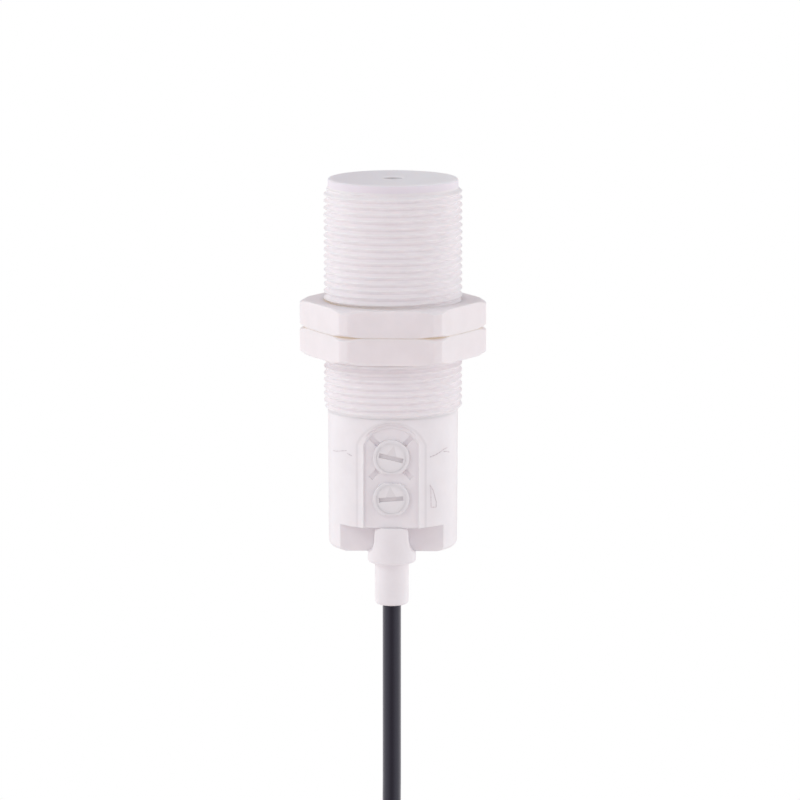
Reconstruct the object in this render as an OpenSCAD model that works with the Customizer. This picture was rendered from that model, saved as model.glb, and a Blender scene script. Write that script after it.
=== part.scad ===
// Capacitive proximity sensor, M30 plastic barrel with two lock nuts and two adjusters.
// The origin is on the axis, at the clamping face of the front nut. +Z points to the sensing
// face and -Y to the side with the adjusters.

/* [Threaded barrel] */
// Outer diameter of the thread
thread_d = 30; // [28:0.5:40]
// Depth of the thread
thread_depth = 0.92; // [0.5:0.02:1.2]
// Length from the sensing face to the clamping face of the front nut
free_length = 26.4; // [20:0.1:32]
// Length of the barrel from the sensing face to its open end
barrel_length = 50.5; // [47:0.5:60]
// Depth of the plain collar's step behind the thread's crests
collar_step = 0.9; // [0.6:0.05:1.4]
// Length of the plain collar
collar_length = 1.9; // [1:0.1:4]
// Thickness of the barrel's wall under the crests
barrel_wall = 2.4; // [2:0.1:2.6]
// Thickness of the closed front wall
face_wall = 1.6; // [1:0.1:2.4]
// Diameter of the moulding gate's dimple in the sensing face
gate_d = 4.2; // [2:0.1:6]
// Depth of that dimple
gate_depth = 0.7; // [0.3:0.1:0.9]

/* [Nuts] */
// Thickness of a nut's ring between the thread and a flat
nut_wall = 3; // [2:0.1:6]
// How far the turned corners stand out over the flats, on the diameter
nut_corner = 4.36; // [3:0.02:5]
// Height of one nut
nut_height = 5.9; // [4:0.1:8]
// Width of the corner chamfer, on the radius
nut_chamfer = 1.28; // [0.6:0.02:1.8]
// Drop of the chamfer at the corners
nut_chamfer_drop = 0.58; // [0.3:0.02:1]

/* [Rear housing] */
// Length of the visible rear housing
rear_length = 29.75; // [29.5:0.25:36]
// Step from the thread's crests down to the rear housing
rear_step = 0.9; // [0.6:0.05:1.4]
// How much the diameter narrows toward the closed end
rear_draft = 0.3; // [0:0.05:0.8]
// Thickness of the chamber's wall
rear_wall = 2.1; // [1.8:0.1:2.4]
// Thickness of the closed end
end_wall = 2.5; // [1.5:0.1:3.5]
// Length of the spigot that plugs into the barrel
spigot_length = 6; // [4:0.5:9]
// Thickness of the spigot's wall
spigot_wall = 1.35; // [1.3:0.05:1.5]

/* [Adjuster pocket] */
// Distance of the selector from the sensing face
selector_place = 59; // [58:0.25:62]
// Distance between the two adjusters
adjuster_pitch = 9; // [8.5:0.1:9.4]
// Width of the pad around the pocket, at its foot
pad_width = 14.7; // [13.5:0.1:18]
// How much the arch's radius exceeds half the pad's width
arch_extra = 0.5; // [0.1:0.05:1]
// How far the pad's bevel runs inward
pad_bevel = 1.3; // [0.6:0.1:1.5]
// Width of the rim's flat front
rim_width = 0.2; // [0.1:0.05:1]
// Distance of the rim behind the front of the housing
rim_setback = 1.1; // [0.6:0.1:1.4]
// Distance from the pad's arch to the cut above the rim
rim_cut_inset = 0.65; // [0.3:0.05:1]
// Depth of the pocket's floor below its rim
floor_depth = 0.4; // [0.2:0.1:0.8]
// Wall of the round sockets around the adjusters
socket_wall = 0.85; // [0.6:0.05:1]
// Depth of the flats on the sockets
socket_flat_cut = 0.5; // [0.2:0.05:0.8]
// Height of the sockets above the floor
socket_height = 0.65; // [0.4:0.05:1]

/* [Adjusters] */
// Diameter of an adjuster's head
head_d = 6.2; // [5:0.1:7.4]
// Thickness of an adjuster's head
head_thickness = 1.35; // [1:0.05:1.6]
// Diameter of an adjuster's stem
stem_d = 3.4; // [2.8:0.1:3.6]
// Length of the screwdriver slot
slot_length = 5.3; // [4:0.1:5.8]
// Width of the screwdriver slot
slot_width = 0.93; // [0.6:0.01:1.2]
// Depth of the screwdriver slot
slot_depth = 0.85; // [0.4:0.05:1]
// Turn of the selector at rest, seen from the front
selector_turn = -13; // [-135:1:135]
// Turn of the sensitivity adjuster at rest, seen from the front
sensitivity_turn = 5; // [-135:1:135]

/* [Cable outlet] */
// Height of the recess above the closed end
recess_height = 5.85; // [5:0.05:7]
// Distance of the recess's flat back from the axis
recess_y = 8.4; // [7.6:0.1:9]
// Distance of the cable from the axis
outlet_y = 8; // [7.8:0.1:8.4]
// Diameter of the strain relief's collar
relief_collar_d = 10.4; // [10:0.1:12]
// Height of that collar
relief_collar_height = 2.35; // [1.5:0.05:4]
// Width of the strain relief's neck at the closed end
neck_width = 8.1; // [7:0.1:8.5]
// Width of the neck at its top
neck_top_width = 6.9; // [6:0.1:7.1]
// Diameter of the strain relief's sleeve
relief_d = 7.3; // [6.4:0.1:8.5]
// Length of that sleeve below the collar
relief_length = 9.3; // [6:0.1:16]
// Diameter of the cable
cable_d = 4; // [3.2:0.1:4.8]
// Play between the cable's turns in its coil
coil_gap = 0.2; // [0.1:0.05:0.4]

/* [Electronics] */
// Thickness of the main circuit board
board_thickness = 1.2; // [0.8:0.1:1.6]
// Distance of the board's front side from the axis
board_y = 3; // [2.6:0.1:3.4]
// Width of the board
board_width = 21; // [20:0.1:21.4]
// Diameter of the sensing electrode
electrode_d = 19; // [14:0.5:20]
// Thickness of the electrode's foil
foil = 0.3; // [0.1:0.05:0.4]
// Thickness of the disc that carries the electrode
carrier_thickness = 1.2; // [0.8:0.1:1.6]
// Wall of the shield can
shield_wall = 0.4; // [0.2:0.05:0.6]

/* [Hidden] */

$fn = 96;
eps = 0.01;
// Radial clearance of pieces that turn or slide in each other
running = 0.05;
// Clearance of pieces that are laid in or potted
loose = 0.1;
// Clearance of pieces that are pressed together
snug = 0.02;

// Height of a point given by its distance below the sensing face
function below(d) = free_length - d;

thread_r = thread_d / 2;
collar_r = thread_r - collar_step;
bore_r = thread_r - barrel_wall;
face_edge = 0.5;
thread_start = collar_length + collar_step;
barrel_end_r = thread_r - rear_step + 0.1;
barrel_end_length = 0.3;
thread_end = barrel_length - barrel_end_length - (thread_r - barrel_end_r);
joint_z = below(barrel_length);

nut_flats = thread_d + 2 * nut_wall;
nut_corner_r = (nut_flats + nut_corner) / 2;

rear_r = thread_r - rear_step;
rear_end_r = rear_r - rear_draft / 2;
end_z = joint_z - rear_length;
end_edge = 0.45;
chamber_r = rear_r - rear_wall;
chamber_end_z = end_z + end_wall;
spigot_r = bore_r - running;
spigot_bore_r = spigot_r - spigot_wall;
spigot_top_z = joint_z + spigot_length;
seal_r = 0.45;
seal_groove = 1.2;
seal_groove_r = bore_r - 2 * seal_r - 0.06;
seal_z = joint_z + spigot_length / 2;
recess_z = end_z + recess_height;

// The pad's foot lies a little inside the wall, all the way down its draft
foot_inset = 0.1;
pad_foot_y = -sqrt(pow(rear_end_r - foot_inset, 2) - pow(pad_width / 2, 2));
pad_arch_r = pad_width / 2 + arch_extra;
// Plain wall that is left between the pad's arch and the joint
arch_land = 0.6;
// The selector sits at its place, or lower where a wide pad's arch needs the room
selector_z = min(below(selector_place), joint_z - arch_land - pad_arch_r);
sensitivity_z = selector_z - adjuster_pitch;
rim_cut_r = pad_arch_r - rim_cut_inset;
floor_width = pad_width - 2 * pad_bevel - 2 * rim_width;
floor_arch_r = pad_arch_r - pad_bevel - rim_width;
rim_y = -(rear_r - rim_setback);
floor_y = rim_y + floor_depth;
socket_y = floor_y - socket_height;
socket_r = head_d / 2 + socket_wall;
socket_flat = socket_r - socket_flat_cut;
pocket_wall = 2.2;
inner_y = floor_y + pocket_wall;
bushing_y = inner_y + 1.8;
bushing_r = stem_d / 2 + 1.6;
head_y = socket_y + running;
seat_y = head_y + head_thickness + running;
seal_minor = 0.42;
seal_seat = 2 * seal_minor + 0.06;
mark_width = 1.1;
mark_depth = 0.5;

board_back_y = -board_y + board_thickness;
switch_height = 3;
switch_size = 7.2;
trimmer_size = 6.6;
switch_y = -board_y - switch_height;
rotor_r = 2.5;
rotor_proud = 0.35;
rotor_slot_depth = 0.9;
blade_width = 2.7;
blade_thickness = 0.7;
blade_end_y = switch_y - rotor_proud + rotor_slot_depth - loose;
stem_end_y = switch_y - rotor_proud - 0.8;
clip_thickness = 0.4;
clip_y = bushing_y + running;
clip_neck_r = stem_d / 2 - 0.45;

shelf = 1.8;
shelf_z = recess_z + shelf;
back_wall = 1.8;
back_wall_y = -(recess_y - back_wall);
relief_r = relief_d / 2;
relief_collar_r = relief_collar_d / 2;
relief_bottom_z = end_z - relief_collar_height - relief_length;
neck_top_z = recess_z - snug;
neck_corner = 1.2;
outlet_clip_thickness = 0.9;
neck_groove_x = neck_width / 2 - 0.65;
neck_groove_y = -outlet_y + 4;
cable_r = cable_d / 2;
cable_inner_z = shelf_z - 0.4;

board_top = 6.4;
board_bottom_z = recess_z + 0.4;
electrode_top_z = below(face_wall);
carrier_z = electrode_top_z - foil - carrier_thickness;
potting_end = 8;
shield_r = bore_r - 0.3;
shield_inner_r = shield_r - shield_wall;
shield_end = 13;
lead_r = 0.4;
lead_y = -board_y - lead_r - running;
lead_end = 9.5;

coil_r = 26.6;
coil_pitch = cable_d + coil_gap;
coil_z = -167;
coil_rows = 3;
coil_columns = 4;
tail_length = 45;
core_r = 0.6;
tinned_r = 0.35;
tinned_length = 5;
tie_thickness = 0.7;
tie_width = 2.6;

// The cable's way from its inner end to the coil, down the middle of the outlet
cable_route = [
    [0, -outlet_y, cable_inner_z], [0, -outlet_y, -60], [0, -outlet_y, -72],
    [0, -outlet_y, -84], [0, -outlet_y, -94], [0, -outlet_y, -104], [0, -outlet_y, -112],
    [0.5, -8.2, -116.8], [2.1, -8.9, -121.4], [4.3, -9.8, -125.7], [7.1, -10.8, -129.5],
    [10.3, -11.8, -133.2], [13.6, -12.7, -136.6], [17, -13.5, -140.1],
    [20.3, -14.1, -143.6], [23.6, -14.3, -147.2]
];
// Where the last turn lets the tail go
tail_x = coil_r + coil_pitch;
tail_y = -outlet_y + 1.5 * coil_pitch;
tail_end_z = coil_z - tail_length;

// Each core's way out of the tail, relative to the middle of the tail's cut end
brown_route = [[-0.9, -0.5, 0], [-1, -0.5, -4], [-2, -0.6, -11], [-4.2, -0.8, -19], [-7, -1, -27]];
blue_route = [[0.9, -0.5, 0], [1, -0.5, -4], [1.8, -0.7, -11], [3.6, -1.1, -19], [5.6, -1.5, -28]];
black_route = [[0, 0.9, 0], [0, 1, -4], [-0.2, 1.2, -11], [-0.8, 1.4, -19], [-1.4, 1.6, -29]];

// Each core's way from the cable's inner end over the shelf to its pad on the board
pad_y = -board_y - 0.05;
inner_brown_route = [
    [-0.8, -8.2, cable_inner_z], [-0.8, -8.2, cable_inner_z + 0.3],
    [-0.9, -7.9, cable_inner_z + 0.65], [-1.3, -7.2, cable_inner_z + 0.95],
    [-1.9, -6.2, cable_inner_z + 1.05], [-2.5, -5.2, cable_inner_z + 0.9],
    [-2.9, -4.4, cable_inner_z + 0.5], [-3, pad_y - 0.7, cable_inner_z],
    [-3, pad_y - 0.5, cable_inner_z - 0.6]
];
inner_black_route = [
    [0, -7.2, cable_inner_z], [0, -7.2, cable_inner_z + 0.3],
    [0, -6.9, cable_inner_z + 0.7], [0, -6.2, cable_inner_z + 1],
    [0, -5.3, cable_inner_z + 0.95], [0, -4.5, cable_inner_z + 0.6],
    [0, pad_y - 0.8, cable_inner_z + 0.1], [0, pad_y - 0.5, cable_inner_z - 0.6]
];
inner_core_r = 0.45;

function unit(v) = v / norm(v);
function heading(route, i) =
    let(a = route[max(i - 1, 0)], b = route[min(i + 1, len(route) - 1)])
    unit(b - a);
function mirrored(route) = [for (p = route) [-p.x, p.y, p.z]];
function moved(route, by) = [for (p = route) p + by];

// A closed tube along a route, with one ring of points square to the way at each of its points
module tube(route, r, sides = 12) {
    n = len(route);
    rings = [
        for (i = [0:n - 1])
            let(t = heading(route, i), u = unit(cross(t, [1, 0.02, 0.01])), v = cross(t, u))
            for (k = [0:sides - 1])
                let(a = 360 * k / sides)
                route[i] + r * cos(a) * u + r * sin(a) * v
    ];
    walls = [
        for (i = [0:n - 2])
            for (k = [0:sides - 1])
                let(m = (k + 1) % sides, a = i * sides, b = a + sides)
                for (f = [[a + k, b + k, b + m], [a + k, b + m, a + m]]) f
    ];
    first = [for (k = [0:sides - 1]) k];
    last = [for (k = [0:sides - 1]) n * sides - 1 - k];
    polyhedron(points = rings, faces = concat(walls, [first, last]), convexity = 8);
}

// Draws its children's XY outline as a block through the housing from y0 to y1,
// with the outline's second axis upward
module through(y0, y1) {
    translate([0, y1, 0]) rotate([90, 0, 0]) linear_extrude(y1 - y0) children();
}

// A round pin along Y from y0 to y1 at height z
module pin(r, y0, y1, z) {
    translate([0, y1, z]) rotate([90, 0, 0]) cylinder(r = r, h = y1 - y0);
}

// A block on the board: centre x, centre z, width, height and the two depths
module block(x, z, w, h, y0, y1) {
    translate([x - w / 2, y0, z - h / 2]) cube([w, y1 - y0, h]);
}

// One-piece barrel: closed front, plain collar, thread and open rear end. The thread itself is
// held as its outer cylinder, with one true groove under the front nut.
module threaded_barrel() {
    groove_half = 0.65;
    color("#ece4e2")
    difference() {
        union() {
            rotate_extrude() polygon([
                [0, below(0)], [collar_r - face_edge, below(0)], [collar_r, below(face_edge)],
                [collar_r, below(collar_length)], [thread_r, below(thread_start)],
                [thread_r, 0], [thread_r - thread_depth, -groove_half],
                [thread_r, -2 * groove_half], [thread_r, below(thread_end)],
                [barrel_end_r, joint_z + barrel_end_length], [barrel_end_r, joint_z],
                [0, joint_z]
            ]);
            translate([0, 0, below(face_edge)]) rotate_extrude()
                translate([collar_r - face_edge, 0]) circle(r = face_edge);
        }
        translate([0, 0, joint_z - 1]) cylinder(r = bore_r, h = barrel_length - face_wall + 1);
        translate([0, 0, below(gate_depth)]) cylinder(r = gate_d / 2, h = gate_depth + 1);
    }
}

// Hexagon nut with turned corners, chamfered on both sides, its upper face at height z
module nut(z) {
    bore_chamfer = 0.6;
    nut_bore_r = thread_r + running;
    corner_r = nut_corner_r;
    chamfer_r = nut_corner_r - nut_chamfer;
    flats_r = nut_flats / 2 / cos(30);
    translate([0, 0, z])
    difference() {
        intersection() {
            translate([0, 0, -nut_height]) cylinder(r = flats_r, h = nut_height, $fn = 6);
            rotate_extrude() polygon([
                [0, 0], [chamfer_r, 0], [corner_r, -nut_chamfer_drop],
                [corner_r, -nut_height + nut_chamfer_drop], [chamfer_r, -nut_height],
                [0, -nut_height]
            ]);
        }
        translate([0, 0, -nut_height - 1]) cylinder(r = nut_bore_r, h = nut_height + 2);
        for (side = [0, 1])
            translate([0, 0, -nut_height * side]) mirror([0, 0, side])
                translate([0, 0, -bore_chamfer])
                    cylinder(r1 = nut_bore_r, r2 = nut_bore_r + bore_chamfer + eps,
                             h = bore_chamfer + eps);
    }
}

module front_nut() {
    color("#eee6e4") nut(0);
}

module rear_nut() {
    color("#eee6e4") nut(-nut_height);
}

// Arch of radius r about the selector over a straight part of the given width
module arch(width, r, foot_z) {
    intersection() {
        union() {
            translate([0, selector_z]) circle(r = r);
            translate([-r, foot_z]) square([2 * r, selector_z - foot_z]);
        }
        translate([-width / 2, foot_z]) square([width, selector_z + r - foot_z]);
    }
}

// Bevelled pad that frames the pocket, flat on its front
module pocket_pad() {
    inside_y = -rear_r * 0.6;
    foot = pad_width / 2;
    rim = foot - pad_bevel;
    bevel_depth = pad_foot_y - rim_y;
    intersection() {
        translate([0, 0, recess_z])
            linear_extrude(selector_z + pad_arch_r + 1 - recess_z) polygon([
                [-foot, inside_y], [-foot, pad_foot_y], [-rim, rim_y], [rim, rim_y],
                [foot, pad_foot_y], [foot, inside_y]
            ]);
        union() {
            translate([0, inside_y, selector_z]) rotate([90, 0, 0])
                cylinder(r = pad_arch_r, h = inside_y - pad_foot_y);
            translate([0, pad_foot_y, selector_z]) rotate([90, 0, 0])
                cylinder(r1 = pad_arch_r, r2 = pad_arch_r - pad_bevel, h = bevel_depth);
            translate([-foot, rim_y, recess_z])
                cube([2 * foot, inside_y - rim_y, selector_z - recess_z]);
        }
    }
}

// Pocket inside the pad: arched cut down to the rim's level, bevelled wall and flat floor
module pocket_cut() {
    front = 3;
    cut_slope = (pad_arch_r - rim_cut_r) / rim_setback;
    through(-rear_r - front, floor_y) arch(floor_width, floor_arch_r, recess_z - 1);
    translate([0, floor_y, selector_z]) rotate([90, 0, 0]) intersection() {
        cylinder(r1 = floor_arch_r, r2 = floor_arch_r + floor_depth, h = floor_depth + eps);
        translate([-floor_width / 2, 0, 0]) cube([floor_width, pad_arch_r, 1]);
    }
    translate([0, rim_y, selector_z]) rotate([90, 0, 0])
        cylinder(r1 = rim_cut_r, r2 = rim_cut_r + front * cut_slope, h = front);
}

// Round socket around one adjuster, cut flat on the sides that are named by their signs
module socket(z, flat_sides) {
    difference() {
        pin(socket_r, socket_y, floor_y + 0.5, z);
        for (s = flat_sides)
            translate([-socket_r, socket_y - 1, z + (s > 0 ? socket_flat : -socket_flat - 2)])
                cube([2 * socket_r, socket_height + 2.5, 2]);
    }
}

// Stepped bore of one adjuster: head, seal seat and stem
module adjuster_bore(z) {
    pin(head_d / 2 + running, socket_y - 5, seat_y, z);
    pin(stem_d / 2 + 2 * seal_minor + 0.06, socket_y, seat_y + seal_seat, z);
    pin(stem_d / 2 + running, socket_y, bushing_y + 1, z);
}

// Chamber behind the pocket, with a flat front wall and a shelf over the recess
module chamber() {
    step_z = joint_z - 1.5;
    difference() {
        union() {
            translate([0, 0, chamber_end_z])
                cylinder(r = chamber_r, h = step_z - chamber_end_z);
            translate([0, 0, step_z - eps])
                cylinder(r = spigot_bore_r, h = spigot_top_z - step_z + 1);
        }
        translate([-rear_r, inner_y - rear_r, chamber_end_z - 1])
            cube([2 * rear_r, rear_r, joint_z + 1 - chamber_end_z]);
        translate([-rear_r, back_wall_y - rear_r, chamber_end_z - 1])
            cube([2 * rear_r, rear_r, shelf_z + 1 - chamber_end_z]);
    }
}

// Guide rails that hold the board's two edges
module board_rails() {
    rail_height = joint_z - 2 - board_bottom_z;
    rail_in = board_width / 2 - 0.9;
    rail_width = chamber_r - rail_in + 1;
    for (side = [-1, 1])
        intersection() {
            for (y = [-board_y - loose - 1, board_back_y + loose])
                translate([side > 0 ? rail_in : -rail_in - rail_width, y, board_bottom_z])
                    cube([rail_width, 1, rail_height]);
            translate([0, 0, board_bottom_z]) cylinder(r = chamber_r + 0.5, h = rail_height);
        }
}

// Rear housing: one moulding with the spigot, pad, pocket, sockets, chamber and cable outlet
module rear_housing() {
    color("#f1edec")
    difference() {
        union() {
            difference() {
                union() {
                    rotate_extrude() polygon([
                        [0, end_z], [rear_end_r - end_edge, end_z],
                        [rear_end_r, end_z + end_edge], [rear_r, joint_z],
                        [spigot_r, joint_z], [spigot_r, seal_z - seal_groove / 2],
                        [seal_groove_r, seal_z - seal_groove / 2],
                        [seal_groove_r, seal_z + seal_groove / 2],
                        [spigot_r, seal_z + seal_groove / 2], [spigot_r, spigot_top_z - 0.4],
                        [spigot_r - 0.4, spigot_top_z], [0, spigot_top_z]
                    ]);
                    pocket_pad();
                }
                chamber();
                pocket_cut();
            }
            for (z = [selector_z, sensitivity_z]) pin(bushing_r, inner_y - 0.5, bushing_y, z);
            board_rails();
            socket(selector_z, [-1]);
            socket(sensitivity_z, [-1, 1]);
        }
        for (z = [selector_z, sensitivity_z]) adjuster_bore(z);
        // Four position marks around the selector
        for (a = [45:90:315])
            translate([0, floor_y + mark_depth, selector_z]) rotate([90, 0, 0])
                rotate([0, 0, a])
                    translate([socket_r - 0.05, -mark_width / 2, 0])
                        cube([floor_arch_r - socket_r, mark_width, 1]);
        // Recess across the front of the closed end
        translate([-rear_r - 1, -recess_y - rear_r, end_z - 1])
            cube([2 * rear_r + 2, rear_r, recess_height + 1]);
        // Keyhole for the strain relief's neck and the cable's way up through the shelf
        neck(snug, recess_z - end_z);
        translate([0, -outlet_y, recess_z - 1]) cylinder(r = cable_r + 0.3, h = shelf + 2);
    }
}

// Keyed neck of the strain relief, grown by a clearance and up to a height over the closed end
module neck(gap, height) {
    foot = neck_width / 2 + gap;
    top = neck_top_width / 2 + gap;
    reach = 2 * relief_collar_r;
    intersection() {
        translate([0, -outlet_y, end_z - 0.1])
            cylinder(r = relief_collar_r + gap, h = height + 0.1);
        translate([0, 0, end_z]) through(-outlet_y - reach, -outlet_y + reach) {
            polygon([
                [-foot, -1], [foot, -1], [foot, 0], [top, height - neck_corner],
                [top - neck_corner, height], [neck_corner - top, height],
                [-top, height - neck_corner], [-foot, 0]
            ]);
            for (side = [-1, 1])
                translate([side * (top - neck_corner), height - neck_corner])
                    circle(r = neck_corner);
        }
    }
}

// Ring of round section that lies about the axis of the spigot
module barrel_seal() {
    color("#2b2b2d")
    translate([0, 0, seal_z]) rotate_extrude()
        translate([bore_r - seal_r - 0.02, 0]) circle(r = seal_r, $fn = 32);
}

// One adjuster: slotted head, stem with a groove for its clip, and a blade at the inner end
module adjuster(z, turn) {
    head_edge = 0.1;
    head_back_y = head_y + head_thickness;
    translate([0, 0, z]) rotate([0, -turn, 0]) difference() {
        union() {
            translate([0, head_back_y, 0]) rotate([90, 0, 0]) rotate_extrude() polygon([
                [0, 0], [head_d / 2, 0], [head_d / 2, head_thickness - head_edge],
                [head_d / 2 - head_edge, head_thickness], [0, head_thickness]
            ]);
            pin(stem_d / 2, head_back_y - 0.1, clip_y - running, 0);
            pin(clip_neck_r, clip_y - running - 0.1, clip_y + clip_thickness + running + 0.1, 0);
            pin(stem_d / 2, clip_y + clip_thickness + running, stem_end_y, 0);
            translate([-blade_width / 2, stem_end_y - 0.1, -blade_thickness / 2])
                cube([blade_width, blade_end_y - stem_end_y + 0.1, blade_thickness]);
        }
        translate([-slot_length / 2, head_y - 1, -slot_width / 2])
            cube([slot_length, slot_depth + 1, slot_width]);
    }
}

module selector_knob() {
    color("#e9e2e0") adjuster(selector_z, selector_turn);
}

module sensitivity_knob() {
    color("#e9e2e0") adjuster(sensitivity_z, sensitivity_turn);
}

// Small round-section seal under an adjuster's head
module adjuster_seal(z) {
    translate([0, seat_y + seal_seat / 2, z]) rotate([90, 0, 0])
        rotate_extrude() translate([stem_d / 2 + seal_minor + 0.03, 0])
            circle(r = seal_minor, $fn = 24);
}

module selector_seal() {
    color("#2b2b2d") adjuster_seal(selector_z);
}

module sensitivity_seal() {
    color("#2b2b2d") adjuster_seal(sensitivity_z);
}

// Open spring clip that keeps an adjuster's stem in its bushing
module retaining_clip(z) {
    clip_r = stem_d / 2 + 1.1;
    mouth = 2 * clip_neck_r - 0.5;
    difference() {
        pin(clip_r, clip_y, clip_y + clip_thickness, z);
        pin(clip_neck_r + running, clip_y - 1, clip_y + clip_thickness + 1, z);
        translate([-mouth / 2, clip_y - 1, z - clip_r - 1])
            cube([mouth, clip_thickness + 2, clip_r + 1]);
    }
}

module selector_clip() {
    color("#b9bcc0") retaining_clip(selector_z);
}

module sensitivity_clip() {
    color("#b9bcc0") retaining_clip(sensitivity_z);
}

// Square body of a rotary part on the board, with a round well for its rotor and side legs
module rotary_body(z, size) {
    well_depth = 1.9;
    leg = [0.8, 0.5, 1];
    difference() {
        block(0, z, size, size, switch_y, -board_y);
        pin(rotor_r + running, switch_y - 1, switch_y + well_depth, z);
    }
    for (side = [-1, 1], k = [-1, 0, 1])
        block(side * (size / 2 + leg.x / 2 - 0.05), z + k * 2.2, leg.x, leg.z,
              -board_y - leg.y, -board_y);
}

module selector_switch() {
    color("#3a6ea5") rotary_body(selector_z, switch_size);
}

module sensitivity_trimmer() {
    color("#2f5f94") rotary_body(sensitivity_z, trimmer_size);
}

// Rotor that the adjuster's blade turns
module rotor(z, turn) {
    rotor_back_y = switch_y + 1.85;
    front_y = switch_y - rotor_proud;
    translate([0, 0, z]) rotate([0, -turn, 0]) difference() {
        pin(rotor_r, front_y, rotor_back_y, 0);
        translate([-blade_width / 2 - loose, front_y - 1, -blade_thickness / 2 - running])
            cube([blade_width + 2 * loose, rotor_slot_depth + 1, blade_thickness + 2 * running]);
    }
}

module selector_rotor() {
    color("#e8e2c8") rotor(selector_z, selector_turn);
}

module trimmer_rotor() {
    color("#e8e2c8") rotor(sensitivity_z, sensitivity_turn);
}

module sensing_electrode() {
    color("#c98a4b")
    translate([0, 0, electrode_top_z - foil]) cylinder(r = electrode_d / 2, h = foil);
}

module guard_ring() {
    outer_r = shield_inner_r - 2 * loose;
    color("#c98a4b")
    translate([0, 0, electrode_top_z - foil]) difference() {
        cylinder(r = outer_r, h = foil);
        translate([0, 0, -1]) cylinder(r = electrode_d / 2 + 0.8, h = foil + 2);
    }
}

// Round circuit board that carries the electrode and lets its lead through
module electrode_carrier() {
    color("#2f6b3c")
    translate([0, 0, carrier_z]) difference() {
        cylinder(r = shield_inner_r - loose, h = carrier_thickness);
        translate([0, lead_y, -1]) cylinder(r = lead_r + running, h = carrier_thickness + 2);
    }
}

// Thin can that screens the oscillator from the side
module shield_can() {
    top_z = electrode_top_z - 0.1;
    color("#b08d57")
    translate([0, 0, below(shield_end)]) difference() {
        cylinder(r = shield_r, h = top_z - below(shield_end));
        translate([0, 0, -1]) cylinder(r = shield_inner_r, h = top_z - below(shield_end) + 2);
    }
}

module electrode_lead() {
    color("#c9ccd0")
    translate([0, lead_y, below(lead_end)])
        cylinder(r = lead_r, h = electrode_top_z - foil - below(lead_end));
}

// Resin behind the carrier, cast round the lead and the front end of the board
module front_potting() {
    color("#4c4a48")
    difference() {
        translate([0, 0, below(potting_end)])
            cylinder(r = shield_inner_r - loose, h = carrier_z - below(potting_end));
        translate([0, lead_y, below(potting_end) - 1]) cylinder(r = lead_r + running, h = 20);
        translate([-board_width / 2 - loose, -board_y - loose, below(potting_end) - 1])
            cube([board_width + 2 * loose, board_thickness + 2 * loose,
                  potting_end - board_top + 1 + loose]);
    }
}

// Main board, from the resin at the front to just above the cable outlet
module main_board() {
    top_z = below(board_top);
    corner = 1.2;
    w = board_width / 2;
    color("#2f6b3c")
    through(-board_y, board_back_y) polygon([
        [-w, board_bottom_z + corner], [-w + corner, board_bottom_z],
        [w - corner, board_bottom_z], [w, board_bottom_z + corner],
        [w, top_z - corner], [w - corner, top_z], [-w + corner, top_z], [-w, top_z - corner]
    ]);
}

// Fourteen-lead chip of the oscillator and comparator
module oscillator_chip() {
    z = below(17);
    body = [3.9, 1.45, 8.6];
    pitch = 1.27;
    color("#26272a") {
        block(0, z, body.x, body.z, -board_y - body.y - 0.1, -board_y - 0.1);
        for (side = [-1, 1], k = [-3:3])
            block(side * (body.x / 2 + 0.4), z + k * pitch, 1, 0.42, -board_y - 0.6, -board_y);
    }
}

// Three-lead regulator with its tab
module voltage_regulator() {
    z = below(27.5);
    color("#2a2b2e") {
        block(4, z, 4.5, 2.5, -board_y - 1.5, -board_y);
        block(4, z + 1.5, 1.7, 1, -board_y - 0.4, -board_y);
        for (k = [-1:1]) block(4 + 1.5 * k, z - 1.6, 0.5, 0.9, -board_y - 0.4, -board_y);
    }
}

// Output transistor with its wide tab
module output_driver() {
    z = below(38);
    color("#2a2b2e") {
        block(0, z, 6.5, 3.5, -board_y - 1.6, -board_y);
        block(0, z + 2.4, 3, 1.5, -board_y - 0.4, -board_y);
        for (k = [-1:1]) block(2.3 * k, z - 2.4, 0.7, 1.5, -board_y - 0.4, -board_y);
    }
}

// Electrolytic can on its square foot, on the back of the board
module smoothing_capacitor() {
    z = below(40);
    foot = 6.6;
    can_r = 3.1;
    color("#b7babd") {
        block(0, z, foot, foot, board_back_y, board_back_y + 0.8);
        pin(can_r, board_back_y + 0.7, board_back_y + 6.2, z);
    }
}

// Block diode against voltage surges, on the back of the board
module surge_suppressor() {
    z = below(60);
    color("#2a2b2e") {
        block(0, z, 3.6, 4.4, board_back_y, board_back_y + 2.2);
        for (side = [-1, 1])
            block(0, z + side * 2.4, 2, 0.9, board_back_y, board_back_y + 1.1);
    }
}

// Ten like chip resistors on the front of the board
module chip_resistors() {
    size = [2, 0.5, 1.25];
    places = [
        [-6, 14], [-6, 17], [-6, 20], [6, 14], [6, 17],
        [6, 20], [-3.5, 26], [-3.5, 29], [-7, 38], [7, 38]
    ];
    color("#3b3a38")
    for (p = places) block(p.x, below(p.y), size.x, size.z, -board_y - size.y, -board_y);
}

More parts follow.
